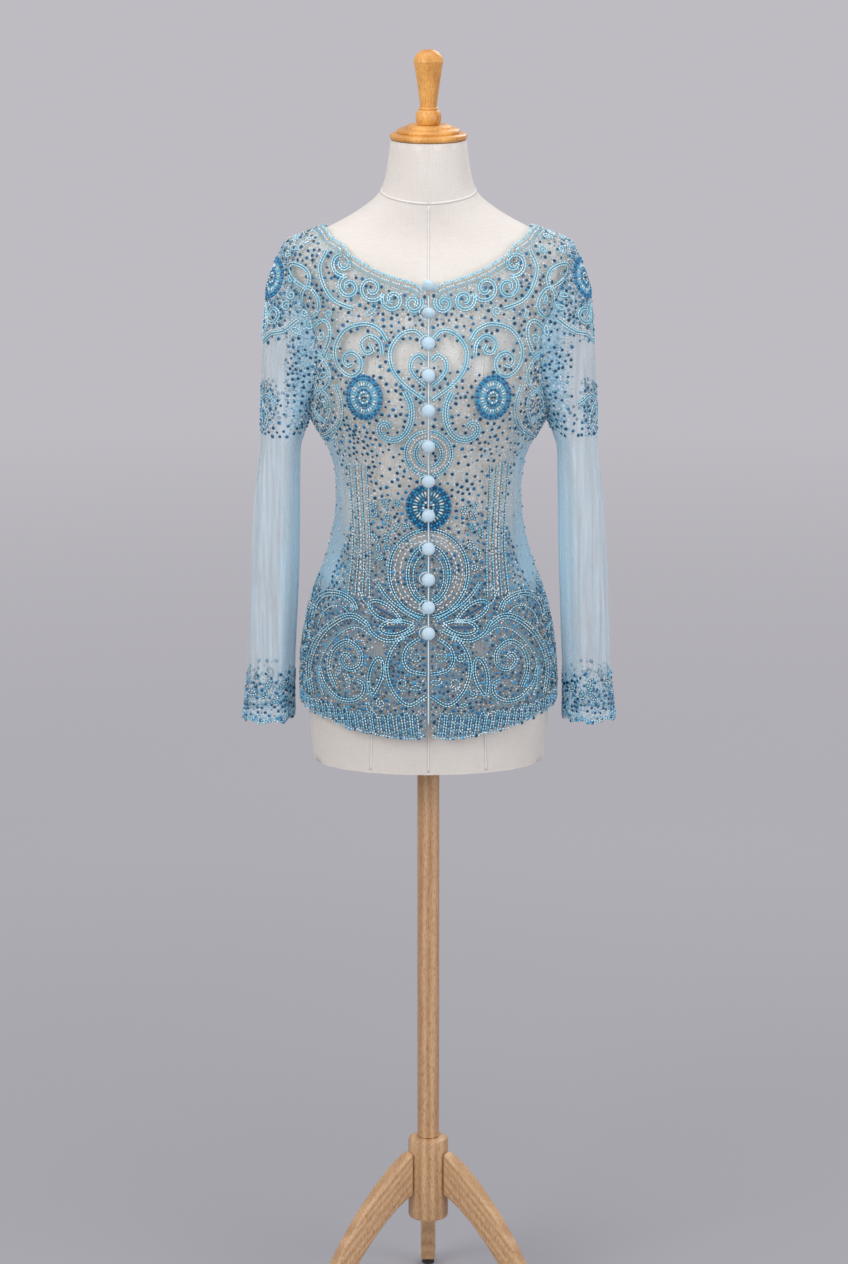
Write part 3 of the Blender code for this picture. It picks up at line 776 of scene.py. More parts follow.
def cord_mesh(name, strands, tapes=(), half=CORD_HALF, rise=CORD_RISE):
    """All the strands of a panel as one mesh of low tubes, with the flat strips of painted shadow below them.
    """
    points, faces, runs = [], [], []
    for strand in strands:
        add_tube(points, faces, runs, strand, CORD_SIDES, half, rise)
    corded = len(faces)
    for tape, width in tapes:
        add_tube(points, faces, runs, tape, PAINTED_SHADOW_SIDES, width, PAINTED_SHADOW_RISE)
    mesh = bpy.data.meshes.new(name)
    mesh.from_pydata(points, [], faces)
    mesh.shade_smooth()
    mesh.attributes.new("along", "FLOAT", "POINT").data.foreach_set("value", runs)
    mesh.polygons.foreach_set("material_index", [0] * corded + [1] * (len(faces) - corded))
    return mesh


# ---------------------------------------------------------------- beads


def bead_pattern(kind):
    """The points, faces and setting faces of one bead, modelled once at unit size.

    A seed is a round bead sewn in place, a chip a plainer strewn one, and a gem sits in a setting.
    """
    deselect()
    if kind == "chip":
        bpy.ops.mesh.primitive_uv_sphere_add(segments=4, ring_count=2, radius=1.0)
    elif kind == "seed":
        bpy.ops.mesh.primitive_ico_sphere_add(subdivisions=1, radius=1.0)
    if kind in ("chip", "seed"):
        bpy.ops.object.mode_set(mode="EDIT")
        bpy.ops.transform.resize(value=(1.0, 1.0, 0.88))
        bpy.ops.object.mode_set(mode="OBJECT")
    else:
        bpy.ops.mesh.primitive_circle_add(vertices=8, radius=1.0, fill_type="NGON")
        bpy.ops.object.mode_set(mode="EDIT")
        bpy.ops.mesh.extrude_region_move(TRANSFORM_OT_translate={"value": (0, 0, 0.30)})
        bpy.ops.transform.resize(value=(0.86, 0.86, 1.0))
        bpy.ops.mesh.inset(thickness=0.13)
        bpy.ops.mesh.extrude_region_move(TRANSFORM_OT_translate={"value": (0, 0, 0.26)})
        bpy.ops.transform.resize(value=(0.62, 0.62, 1.0))
        bpy.ops.object.mode_set(mode="OBJECT")
    model = bpy.context.active_object
    points = np.array([tuple(v.co) for v in model.data.vertices])
    faces, settings = [], []
    for polygon in model.data.polygons:
        reach = max(math.hypot(*model.data.vertices[i].co.xy) for i in polygon.vertices)
        faces.append(tuple(polygon.vertices))
        settings.append(kind == "gem" and reach > 0.76)
    bpy.data.objects.remove(model)
    return points, faces, settings


def bead_mesh(name, beads, patterns):
    """All the beads of a panel joined into one mesh, each with its own tone."""
    points, faces, tones, first = [], [], [], 0
    for kind, place, facing, tone, size, along, length in beads:
        base, base_faces, settings = patterns[kind]
        up = Vector(facing).normalized()
        ahead = Vector(along) if along is not None else up.orthogonal()
        ahead = (ahead - up * ahead.dot(up)).normalized()
        across = up.cross(ahead)
        lift = size * (-0.05 if kind == "gem" else 0.70)
        turn = np.array([tuple(ahead * size * length), tuple(across * size), tuple(up * size)])
        points.append(base @ turn + np.array(tuple(Vector(place) + up * lift)))
        faces.extend(tuple(first + i for i in face) for face in base_faces)
        tones.extend(SETTING if setting else tone for setting in settings)
        first += len(base)
    mesh = bpy.data.meshes.new(name)
    mesh.from_pydata(np.concatenate(points), [], faces)
    mesh.shade_smooth()
    mesh.attributes.new("tone", "FLOAT", "FACE").data.foreach_set("value", tones)
    return mesh


# A ring of a rosette: how far out, how many beads, how full of its share, how long, and their finishes
Ring = namedtuple("Ring", "reach count share length tones")
ROSETTE = [
    Ring(0.97, 42, 1.00, 1.15, (DEEP, BRIGHT)),
    Ring(0.83, 38, 1.00, 1.10, (BRIGHT, BRIGHT, DEEP)),
    Ring(0.61, 28, 0.66, 3.00, (SILVER, SKY, PALE)),
    Ring(0.38, 20, 1.00, 1.15, (BRIGHT, DEEP)),
    Ring(0.24, 11, 0.90, 1.15, (SILVER, SKY)),
    Ring(0.08, 4, 0.90, 1.00, (CHAMPAGNE, NAVY)),
]
ROSETTE_OUT = 0.081  # from the middle of the body to the middle of the rosette on the bust
ROSETTE_SHADE_ROUNDS = (0.10, 0.26, 0.42, 0.58, 0.74, 0.90)  # how far out each round of the disc of painted shade lies


def rosette(work, across, height, half_width, half_height, heading=FRONT, centre=BODY_AXIS):
    """A disc of painted shade covered in rings of touching beads, with a ring of long ones set like spokes.
    """
    for reach in ROSETTE_SHADE_ROUNDS:
        # rounds of the dark strip of painted shadow, which fill a disc under the beads
        round_line = smooth_line(ellipse(across, height, half_width * reach, half_height * reach, 0, 360, 20))
        for stretch in laid(work, round_line, heading, centre):
            work.tapes.append((stretch, half_width * 0.13))
    for ring in ROSETTE:
        size = ring.share * math.pi * ring.reach * (half_width + half_height) / 2 / ring.count
        for i in range(ring.count):
            angle = 2 * math.pi * i / ring.count
            x, z = half_width * math.sin(angle), half_height * math.cos(angle)
            hit, further = (
                work.shell.seen_from(heading, across + reach * x, height + reach * z, centre)
                for reach in (ring.reach, ring.reach + 0.1)
            )
            if hit and further:
                tone = ring.tones[i % len(ring.tones)]
                work.bead("seed", *hit, tone, size, further[0] - hit[0], ring.length)


def rim_between(ring, start, end):
    """The shorter stretch of a panel's edge between the points nearest to these two."""
    a, b = (min(range(len(ring)), key=lambda i: (ring[i] - Vector(p)).length) for p in (start, end))
    forward = ring[a : b + 1] if a <= b else ring[a:] + ring[: b + 1]
    backward = ring[b : a + 1] if b <= a else ring[b:] + ring[: a + 1]
    return forward if len(forward) <= len(backward) else backward[::-1]


def inset_rim(work, stretch, inward, step=CORD_STEP):
    """A line on the panel that keeps this far inside a stretch of its edge."""
    line, moved = evenly(stretch, step), []
    for i, point in enumerate(line):
        place, facing = work.shell.nearest(point)
        along = (line[min(i + 1, len(line) - 1)] - line[max(i - 1, 0)]).normalized()
        across = facing.cross(along).normalized()
        ahead, behind = (work.shell.nearest(place + way * 0.004)[0] for way in (across, -across))
        inner = across if (ahead - place).length > (behind - place).length else -across
        moved.append(work.shell.nearest(place + inner * inward))
    return moved


# ---------------------------------------------------------------- the drawings, for the wearer's left half

SCROLLS = [
    # heart over the breastbone, and the small one inside it round a button
    Drawing([(0.004, 1.336), (0.017, 1.347), (0.035, 1.342), (0.048, 1.323)]
            + [(0.045, 1.300), (0.030, 1.281), (0.004, 1.262)]),
    Drawing([(0.004, 1.311), (0.012, 1.318), (0.021, 1.311), (0.022, 1.299), (0.014, 1.288), (0.004, 1.280)]),
    # the great scroll beside it and the comma within
    Drawing([(0.052, 1.334), (0.062, 1.348), (0.080, 1.354), (0.104, 1.346), (0.118, 1.322), (0.114, 1.299)]
            + [(0.099, 1.288), (0.086, 1.296), (0.086, 1.311), (0.097, 1.318), (0.107, 1.310), (0.103, 1.300)]
            + [(0.096, 1.303)]),
    Drawing([(0.058, 1.316), (0.061, 1.332), (0.073, 1.340), (0.085, 1.331)]
            + [(0.080, 1.318), (0.070, 1.321), (0.074, 1.329)]),
    # hooks that fall from the heart
    Drawing([(0.029, 1.272), (0.022, 1.255), (0.022, 1.235), (0.031, 1.216), (0.046, 1.209), (0.059, 1.215)]
            + [(0.062, 1.227), (0.054, 1.232), (0.049, 1.225)], 3),
    # ring round the buttons above the waist
    Drawing(ellipse(0, 1.192, 0.029, 0.030, 6, 174, 14)),
    Drawing(ellipse(0, 1.192, 0.0165, 0.018, 12, 168, 10)),
    # big oval below the waist, with its double row of white beads
    Drawing(ellipse(0, 1.035, 0.050, 0.055, 4, 176, 18)),
    Drawing(ellipse(0, 1.033, 0.0265, 0.0365, 7, 173, 14)),
    Drawing(ellipse(0, 1.031, 0.0195, 0.0290, 10, 170, 10), 1),
    # leaves spread under the oval
    Drawing(leaf(0.055, 0.984, 0.046, 0.017, 62)),
    Drawing(leaf(0.040, 0.966, 0.044, 0.015, 100)),
    Drawing([(0.010, 0.975), (0.032, 0.987), (0.052, 1.003), (0.066, 1.022)]),
    Drawing([(0.070, 0.988), (0.082, 0.996), (0.088, 1.010)], 1),
    Drawing([(0.030, 0.953), (0.052, 0.948), (0.070, 0.956), (0.080, 0.972)]),
    # arch over the hip and the great side spiral
    Drawing([(0.150, 0.962), (0.144, 0.984), (0.130, 0.998), (0.113, 1.001), (0.098, 0.995),
             (0.092, 0.983)], 3),
    Drawing([(0.078, 0.967), (0.094, 0.976), (0.112, 0.971), (0.134, 0.951)]
            + [(0.148, 0.925), (0.154, 0.898), (0.150, 0.866)], 3),
    Drawing([(0.142, 0.955), (0.135, 0.973), (0.123, 0.984), (0.111, 0.986), (0.101, 0.979)], 1),
    Drawing([(0.072, 0.952), (0.088, 0.962), (0.106, 0.957), (0.124, 0.939)]
            + [(0.137, 0.914), (0.140, 0.888), (0.134, 0.868)], 1, SKY),
    Drawing([(0.120, 0.882), (0.128, 0.905), (0.122, 0.931), (0.104, 0.944), (0.087, 0.933)]
            + [(0.087, 0.915), (0.101, 0.907), (0.112, 0.917), (0.106, 0.928), (0.098, 0.922)], 2, PALE),
    Drawing([(0.140, 0.905), (0.133, 0.884), (0.116, 0.869), (0.098, 0.868)]
            + [(0.085, 0.877), (0.083, 0.890), (0.092, 0.895)], 2, SKY),
    # loops that hang from the oval on either side of the opening
    Drawing([(0.018, 0.962), (0.040, 0.948), (0.053, 0.919), (0.047, 0.887), (0.026, 0.866), (0.003, 0.878)]),
    Drawing([(0.012, 0.952), (0.027, 0.941), (0.032, 0.925), (0.024, 0.911), (0.003, 0.906)]),
    Drawing(scroll(0.015, 0.929, 0.0085, 40, 1.2), 1),
    Drawing(scroll(0.033, 0.893, 0.0090, 200, -1.2), 1),
    Drawing(leaf(0.068, 0.900, 0.052, 0.014, -12)),
    # yoke of small scrolls under the neck edge
    Drawing(scroll(0.108, 1.426, 0.0155, 200, -1.35)),
    Drawing(scroll(0.100, 1.398, 0.0140, 20, 1.35)),
    Drawing(scroll(0.072, 1.397, 0.0160, 250, -1.4)),
    Drawing(scroll(0.045, 1.384, 0.0140, 60, 1.35)),
    Drawing(scroll(0.019, 1.380, 0.0115, 300, -1.3)),
    Drawing([(0.128, 1.442), (0.137, 1.420), (0.131, 1.396), (0.118, 1.380), (0.095, 1.372)]),
    # paisleys down the armhole
    Drawing(leaf(0.160, 1.408, 0.034, 0.020, 20, 0.25)),
    Drawing(leaf(0.147, 1.372, 0.038, 0.021, -20, 0.28)),
    Drawing(leaf(0.140, 1.330, 0.044, 0.022, 14, -0.28)),
    Drawing(leaf(0.134, 1.284, 0.046, 0.022, -14, 0.28)),
    Drawing(leaf(0.138, 1.240, 0.040, 0.020, 24, -0.25)),
    Drawing([(0.117, 1.275), (0.110, 1.252), (0.112, 1.226), (0.126, 1.206), (0.138, 1.196)], 2, SILVER),
]

# Cords beside the front seam: the seam's line, and how fast the cords spread from it at each point
SEAM_POINTS = [(0.0905, 0.0040, 1.172), (0.0875, 0.0036, 1.118), (0.0855, 0.0038, 1.060),
               (0.0890, 0.0046, 1.000)]
SEAM_LINES = [Drawing([(x + spread * i, z) for x, spread, z in SEAM_POINTS], 1) for i in (-3, -1, 1, 3)]

# Rows of single long beads
Dashes = namedtuple("Dashes", "points tone step size length")
DASHES = [
    Dashes(ellipse(0, 1.035, 0.0430, 0.0480, 8, 172, 16), SILVER, 0.0062, 0.00105, 2.2),
    Dashes(ellipse(0, 1.035, 0.0360, 0.0415, 8, 172, 16), SILVER, 0.0062, 0.00105, 2.2),
    Dashes([(0.0905, 1.172), (0.0875, 1.118), (0.0855, 1.060), (0.0890, 1.004)],
           SILVER, 0.0066, 0.00110, 2.3),
    Dashes([(0.0985, 1.168), (0.0950, 1.118), (0.0935, 1.060), (0.0980, 1.004)], PALE, 0.0066, 0.00100, 2.0),
    Dashes([(0.0825, 1.168), (0.0800, 1.118), (0.0775, 1.060), (0.0800, 1.004)], PALE, 0.0066, 0.00100, 2.0),
    Dashes([(0.042, 0.978), (0.067, 0.990)], DEEP, 0.0042, 0.00170, 1.4),
    Dashes([(0.030, 0.966), (0.054, 0.965)], DEEP, 0.0042, 0.00170, 1.4),
    Dashes(ellipse(0, 1.192, 0.0228, 0.0238, 10, 170, 12), SILVER, 0.0040, 0.00105, 1.4),
]

# On a sleeve, across is measured round the arm from its outer line, and negative is to the front
SLEEVE_SCROLLS = [
    Drawing(scroll(-0.018, 1.356, 0.0150, 30, 1.35)),
    Drawing(scroll(0.020, 1.352, 0.0150, 330, -1.35)),
    Drawing(leaf(0.0, 1.348, 0.040, 0.016, 180)),
    Drawing([(-0.050, 1.352), (-0.036, 1.336), (-0.018, 1.330), (0.0, 1.318)]
            + [(0.018, 1.330), (0.036, 1.336), (0.050, 1.352)], 2, SILVER),
    Drawing(leaf(-0.014, 1.226, 0.036, 0.013, 200), 1),
    Drawing(leaf(0.014, 1.226, 0.036, 0.013, 160), 1),
    Drawing([(-0.036, 1.242), (-0.020, 1.252), (0.0, 1.244), (0.020, 1.252), (0.036, 1.242)]),
]


# ---------------------------------------------------------------- beading

# Heights and distances out where the beading of the body changes
HIP, UPPER_WAIST, ARMHOLE_LOW, BUST_TOP, CHEST_LINE, YOKE_LOW = 1.010, 1.130, 1.190, 1.345, 1.366, 1.376
SIDE_OUT = 0.120

# On the sleeves: the shoulder field, the patch on the outer side at the elbow, the dotted inner side
# and the cuff
SHOULDER_LOW, PATCH_LOW, PATCH_HIGH, INNER_SIDE, CUFF_HIGH = 1.318, 1.200, 1.262, 0.184, 0.888

# Plain windows of net
Window = namedtuple("Window", "across height half_width half_height")
WINDOWS = [
    Window(0.026, 1.318, 0.020, 0.019),
    Window(0.095, 1.332, 0.017, 0.012),
    Window(0.072, 1.305, 0.011, 0.014),
    Window(0.100, 1.415, 0.010, 0.008),
    Window(0.066, 0.935, 0.009, 0.017),
    Window(0.129, 1.336, 0.006, 0.020),
    Window(0.163, 1.412, 0.009, 0.012),
]


def quiet(x, z):
    """Whether this place is in one of the plain windows."""
    return any(
        ((abs(x) - w.across) / w.half_width) ** 2 + ((z - w.height) / w.half_height) ** 2 < 1
        for w in WINDOWS
    )


def plain_side(x, y, z):
    """Whether this place is in the strip of unbeaded net down the side, from below the arm to the hip."""
    around = math.degrees(math.atan2(abs(x), abs(y - BODY_AXIS.y)))
    return 1.000 < z < 1.195 and around > 60 + 90 * abs(z - PLAIN_MIDDLE)


# Each of these says how much room a bead or a curl of its kind keeps at a place, or None where there is none


def body_gem_room(x, y, z):
    """Tightest over the chest and the shoulders."""
    if abs(x) < 0.0045 or plain_side(x, y, z) or quiet(x, z):
        return None
    if BUST_TOP + 0.001 < z < YOKE_LOW:
        return 0.0058 + 0.02 * abs(x)
    if z > YOKE_LOW:
        return 0.0080
    if abs(x) > SIDE_OUT + 0.002 and z > ARMHOLE_LOW:
        return 0.0068
    return 0.0068 if z < WAIST else 0.0084


def body_seed_room(x, y, z):
    """Closer below the waist, and on the front more than on the back."""
    if abs(x) < 0.003:
        return None
    if plain_side(x, y, z):
        return 0.0120
    if quiet(x, z):
        return 0.0080
    if UPPER_WAIST < z < BUST_TOP and abs(x) < SIDE_OUT:
        return 0.0040
    if z > WAIST:
        return 0.0031 if y < BODY_AXIS.y else 0.0036
    return 0.0027 if y < BODY_AXIS.y else 0.0034


def body_curl_room(x, y, z):
    """A curl's size on the yoke, beside the armhole, over the hips and round the oval."""
    if abs(x) < 0.010 or quiet(x, z):
        return None
    if z > CHEST_LINE:
        return 0.0068
    if abs(x) > SIDE_OUT and z > ARMHOLE_LOW:
        return 0.0062
    if z < HIP:
        return 0.0060
    return 0.0056 if z < 1.125 and abs(x) < 0.075 else None


def sleeve_curl_room(x, y, z):
    """A curl's size on the shoulder, the cuff and the patch at the elbow."""
    patch = 1.210 < z < 1.255 and abs(x) > 0.200
    return 0.0066 if z > 1.336 or 0.836 < z < 0.874 or patch else None


def fading(z, low, high, tight, loose):
    """The room between beads where a beaded field thins out from low to high."""
    share = min(1.0, max(0.0, (z - low) / (high - low)))
    return tight + (loose - tight) * share


def sleeve_gem_room(x, y, z):
    """Fields that thin out down the shoulder, up the cuff and round the inner side."""
    if z > SHOULDER_LOW:
        return fading(-z, -BUST_TOP, -SHOULDER_LOW, 0.0058, 0.0130)
    if z < CUFF_HIGH:
        return fading(z, CUFF_HIGH - 0.020, CUFF_HIGH, 0.0056, 0.0110)
    if PATCH_LOW < z < PATCH_HIGH and abs(x) > 0.200 - 0.6 * (PATCH_HIGH - z):
        return 0.0070
    if z > 1.205 and abs(x) < INNER_SIDE:
        return fading(abs(x), INNER_SIDE - 0.012, INNER_SIDE, 0.0066, 0.0110)
    return None


def sleeve_seed_room(x, y, z):
    """The same fields, a little smaller."""
    if z > SHOULDER_LOW + 0.004:
        return fading(-z, -BUST_TOP, -SHOULDER_LOW - 0.004, 0.0031, 0.0080)
    if z < CUFF_HIGH - 0.002:
        return fading(z, CUFF_HIGH - 0.022, CUFF_HIGH - 0.002, 0.0030, 0.0070)
    if PATCH_LOW < z < PATCH_HIGH and abs(x) > 0.196:
        return 0.0038
    if z > 1.205 and abs(x) < INNER_SIDE:
        return fading(abs(x), INNER_SIDE - 0.012, INNER_SIDE, 0.0032, 0.0070)
    return None


# How often each finish comes up among strewn beads
GEM_TONES, LOW_GEM_TONES = [NAVY] * 6 + [DEEP] * 2, [NAVY] * 5 + [DEEP] * 4 + [BRIGHT]
SEED_TONES = [SILVER] * 7 + [SKY] * 4 + [PALE] * 4 + [CHAMPAGNE] * 5 + [BRIGHT]
LOW_SEED_TONES = [SILVER] * 6 + [SKY] * 4 + [PALE] * 2 + [CHAMPAGNE] * 6 + [BRIGHT] * 2
LOW_SEED_TONES += [SETTING] * 2 + [NAVY] * 3
SLEEVE_SEED_TONES = [SILVER] * 2 + [SKY] * 5 + [PALE] * 3 + [CHAMPAGNE] * 3 + [BRIGHT] * 4 + [SETTING] * 6


def strew_beads(work, seed, tries, room, kind):
    """Throws beads at random over a panel, in soft clusters, and keeps those that have room around them."""
    rng, tones = np.random.default_rng(seed), random.Random(seed)
    points, facings = strew(work.shell, tries, rng)
    reach = GEM if kind == "gem" else SEED
    for point, facing in zip(points, facings):
        space = room(*point)
        if space is None:
            continue
        if kind == "gem":
            space *= 1 + 0.75 * noise.noise(Vector(point) * 46)
        if work.clear_at(point, reach * 0.8) and work.apart(kind, point, space):
            low = point[2] < WAIST
            if kind == "gem":
                choices, longest = (LOW_GEM_TONES, 1.55) if low else (GEM_TONES, 1.25)
            else:
                choices, longest = LOW_SEED_TONES if low else SEED_TONES, 1.5
                if work.name.startswith("sleeve"):
                    choices = SLEEVE_SEED_TONES
            length = tones.uniform(1.0, longest)
            along = Vector((tones.uniform(-1, 1), tones.uniform(-1, 1), tones.uniform(-1, 1)))
            tone = tones.choice(choices)
            work.bead(kind, point, facing, tone, reach * tones.uniform(0.70, 1.08), along, length)


def sew_curls(work, seed, tries, room):
    """Fills open ground with little curls and drops of cord, each turned its own way."""
    rng, shapes = np.random.default_rng(seed), random.Random(seed)
    points, facings = strew(work.shell, tries, rng)
    for point, facing in zip(points, facings):
        size = room(*point)
        if size is None or not work.apart("curl", point, size * 2.2):
            continue
        middle, up = Vector(point), Vector(facing)
        right = up.orthogonal().normalized()
        right.rotate(Matrix.Rotation(shapes.uniform(0, 2 * math.pi), 3, up))
        ahead = up.cross(right)
        size *= shapes.uniform(0.8, 1.15)
        reach = size * 0.85
        ring = [middle + right * reach * math.sin(a) + ahead * reach * math.cos(a) for a in range(7)]
        if not all(work.clear_at(p, 0.0016) for p in [middle, *ring]):
            continue
        if shapes.random() < 0.55:
            line = scroll(0, 0, size, 0, shapes.choice((-1.5, 1.5)), 0.2)
        else:
            line = leaf(0, 0, size * 2.1, size * 0.85, 0, shapes.choice((-0.3, 0.3)))
        line = smooth_line(line, 0.0024)
        work.strand([work.shell.nearest(middle + right * p.x + ahead * p.y) for p in line])


BORDER_STEP = 0.0033  # from row to row of a border


def bead_edge(work, stretch, first, rows, spacing, tones):
    """Columns of beads that stand on an edge, as a border, every other one shorter, each topped by a gem."""
    for i, (place, facing) in enumerate(inset_rim(work, stretch, first, spacing)):
        up = Vector((0, 0, 1))
        up = (up - facing * up.dot(facing)).normalized()
        tall = rows - (i % 2) * 2
        for row in range(tall):
            spot, way = work.shell.nearest(place + up * row * BORDER_STEP)
            work.bead("seed", spot, way, tones[row % len(tones)], 0.00125, up, 1.25)
        top, way = work.shell.nearest(place + up * tall * BORDER_STEP)
        work.bead("gem", top, way, NAVY, GEM * 0.9)


def bead_neck(work, stretch):
    """A soft band of small pale beads along the neck, row by row, on one fine cord."""
    sew_rim(work, stretch, 0.0008)
    for row, row_tone in enumerate((PALE, CHAMPAGNE, SILVER, SKY, CHAMPAGNE, PALE)):
        places = inset_rim(work, stretch, 0.0026 + 0.0023 * row, 0.0028)
        for i, (place, facing) in enumerate(places):
            before, after = places[max(i - 1, 0)][0], places[min(i + 1, len(places) - 1)][0]
            shift = (after - before) * (0.25 * (row % 2))
            tone = SKY if (i * 3 + row) % 5 == 0 else row_tone
            work.bead("seed", place + shift, facing, tone, 0.00115, shift if row % 2 else None)


def hem_loops(work, stretch):
    """Tall narrow loops of cord that stand on the hem, each filled with a column of blue beads."""
    for i, (place, facing) in enumerate(inset_rim(work, stretch, 0.0040, 0.0108)[1:-1]):
        near = max(0.0, 1 - abs(place.x) / 0.15) if place.y < BODY_AXIS.y else 0.4
        tall = 0.0130 + 0.0170 * near + 0.0030 * (i % 2)
        up = Vector((math.copysign(0.10 + 1.2 * min(0.15, abs(place.x)), place.x), 0, 1))
        up = (up - facing * up.dot(facing)).normalized()
        across = up.cross(facing)
        outline = [(0.0030, 0.0), (0.0034, tall * 0.5), (0.0030, tall * 0.9), (0.0, tall + 0.0016)]
        outline += [(-x, y) for x, y in outline[-2::-1]]
        loop = smooth_line(outline, 0.0026)
        work.strand([work.shell.nearest(place + across * p.x + up * p.y) for p in loop])
        for row in range(int(tall / 0.0031)):
            spot, way = work.shell.nearest(place + up * (0.0012 + 0.0031 * row))
            work.bead("seed", spot, way, (BRIGHT, SKY, DEEP)[(row + i) % 3], 0.00135, up, 1.2)


def sew_rim(work, stretch, inward):
    """One cord along an edge, this far inside it."""
    work.strands.append(inset_rim(work, stretch, inward))


def on_side(point, side):
    return (side * point[0], point[1], point[2])


def sew_edges(work, side, hem_middle, neck_middle):
    """Finishes the hem, neck and armhole of one half of the body. Returns the hem."""
    ring = work.shell.rims[0]
    hem = rim_between(ring, hem_middle, on_side(HEM_SIDE, side))
    neck = rim_between(ring, neck_middle, on_side(NECK, side))
    armhole = rim_between(ring, on_side(UNDERARM, side), on_side(TIP, side))
    sew_rim(work, hem, 0.0012)
    bead_neck(work, neck)
    bead_row(work, inset_rim(work, armhole, 0.0016, 0.0032), SKY, 0.0011, 1.1)
    return hem


def sew_dashes(work, side, heading):
    for row in DASHES:
        line = smooth_line([(side * x, z) for x, z in row.points], row.step)
        for stretch in laid(work, line, heading, BODY_AXIS):
            bead_row(work, stretch, row.tone, row.size, row.length)


def sew_rosettes(work, places, heading):
    """One at the waist, at 0, or those on either side of the bust, by how far across they are."""
    for across in places:
        middle, half_width, half_height = (1.263, 0.0225, 0.0280) if across else (1.120, 0.0280, 0.0300)
        rosette(work, across, middle, half_width, half_height, heading)


def bead_front(work, side):
    hem = sew_edges(work, side, HEM_MIDDLE, NECK_MIDDLE)
    for drawing in SCROLLS + SEAM_LINES:
        sew_drawing(work, drawing, side)
    sew_rosettes(work, (side * ROSETTE_OUT, 0.0), FRONT)
    hem_loops(work, hem)
    sew_dashes(work, side, FRONT)
    sew_curls(work, 61 + side, 2600, body_curl_room)
    strew_beads(work, 11 + side, 12000, body_gem_room, "gem")
    strew_beads(work, 21 + side, 30000, body_seed_room, "chip")


def bead_back(work):
    for side in (1, -1):
        hem = sew_edges(work, side, BACK_HEM_MIDDLE, BACK_NECK_MIDDLE)
        for drawing in SCROLLS:
            sew_drawing(work, drawing, side, BACK)
        hem_loops(work, hem)
        sew_dashes(work, side, BACK)
    sew_rosettes(work, (0.0, ROSETTE_OUT, -ROSETTE_OUT), BACK)
    sew_curls(work, 63, 4200, body_curl_room)
    strew_beads(work, 31, 14000, body_gem_room, "gem")
    strew_beads(work, 32, 44000, body_seed_room, "chip")


SLEEVE_HEADING = 72  # the side that a sleeve's drawings face, in degrees round from the front


def bead_sleeve(work, side):
    cuff = min(work.shell.rims, key=lambda ring: sum(p.z for p in ring) / len(ring))
    cuff = cuff + cuff[:1]
    sew_rim(work, cuff, 0.0012)
    sew_rim(work, cuff, 0.0044)
    centre = Vector((side * 0.190, SLEEVE_AXIS_Y, 0))
    for drawing in SLEEVE_SCROLLS:
        sew_drawing(work, drawing, side, side * SLEEVE_HEADING, centre)
    rosette(work, 0.0, 1.400, 0.0200, 0.0250, side * 50, centre)
    bead_edge(work, cuff, 0.0080, 4, 0.0076, (SKY, PALE, BRIGHT))
    sew_curls(work, 71 + side, 2400, sleeve_curl_room)
    strew_beads(work, 41 + side, 10000, sleeve_gem_room, "gem")
    strew_beads(work, 51 + side, 36000, sleeve_seed_room, "chip")


def make_beading(shells, finishes):
    """Sews every panel. Returns, for each, the pieces of cord work and of beads on it."""
    patterns = {kind: bead_pattern(kind) for kind in ("seed", "chip", "gem")}
    on_panel = {}
    for node, shell in shells.items():
        work = Work(node, shell)
        if node == "back":
            bead_back(work)
        else:
            side = 1 if node.endswith("left") else -1
            (bead_front if node.startswith("front") else bead_sleeve)(work, side)
        # the cords, with their strips of painted shadow under them
        cords = cord_mesh(f"{node}_cords", work.strands, work.tapes)
        cords = as_piece(f"{node}_cords", cords, finishes["soutache"], finishes["tape"])
        pieces = [cords]
        for word, is_gem in (("gems", True), ("seeds", False)):
            beads = [b for b in work.beads if (b[0] == "gem") == is_gem]
            mesh = bead_mesh(f"{node}_{word}", beads, patterns)
            pieces.append(as_piece(f"{node}_{word}", mesh, finishes["beads"]))
        on_panel[node] = pieces
    return on_panel


# ---------------------------------------------------------------- closure

BUTTONS = [f"button_{i:02d}" for i in range(1, 13)]
# The seat is how far the widest round lies below the middle of the solid
BUTTON_RADIUS, BUTTON_SEAT = 0.0086, 0.0016
BINDING_STEP = 0.0027


def make_buttons(finish):
    """Domes covered in the blouse cloth, gathered under at the back, each seated where its solid is."""
    for node in BUTTONS:
        low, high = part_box(node)
        middle = (Vector(low) + Vector(high)) / 2
        solid = merged_copy(node)
        centre = sum((f.calc_center_median() for f in solid.faces), Vector()) / len(solid.faces)
        tip = min(solid.verts, key=lambda v: v.co.y)
        up = (tip.co - centre).normalized()  # the way that the dome points
        solid.free()
        deselect()
        bpy.ops.mesh.primitive_uv_sphere_add(segments=24, ring_count=14, radius=BUTTON_RADIUS)
        piece = bpy.context.active_object
        bpy.ops.object.mode_set(mode="EDIT")
        bpy.ops.mesh.select_all(action="DESELECT")
        bpy.ops.object.mode_set(mode="OBJECT")
        for vertex in piece.data.vertices:
            vertex.select = vertex.co.z < -0.0001
        bpy.ops.object.mode_set(mode="EDIT")
        bpy.ops.transform.resize(value=(0.94, 0.94, 0.30))
        bpy.ops.mesh.select_all(action="SELECT")
        bpy.ops.transform.resize(value=(1.0, 1.0, 0.66))
        bpy.ops.object.mode_set(mode="OBJECT")
        seat = middle - up * BUTTON_SEAT
        piece.data.transform(Matrix.Translation(seat) @ up.to_track_quat("Z", "Y").to_matrix().to_4x4())
        piece.name = f"{node}_covered"
        piece.data.name = piece.name
        piece.data.shade_smooth()
        piece.data.materials.append(finish)
        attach(piece, "root")
        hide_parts(node)


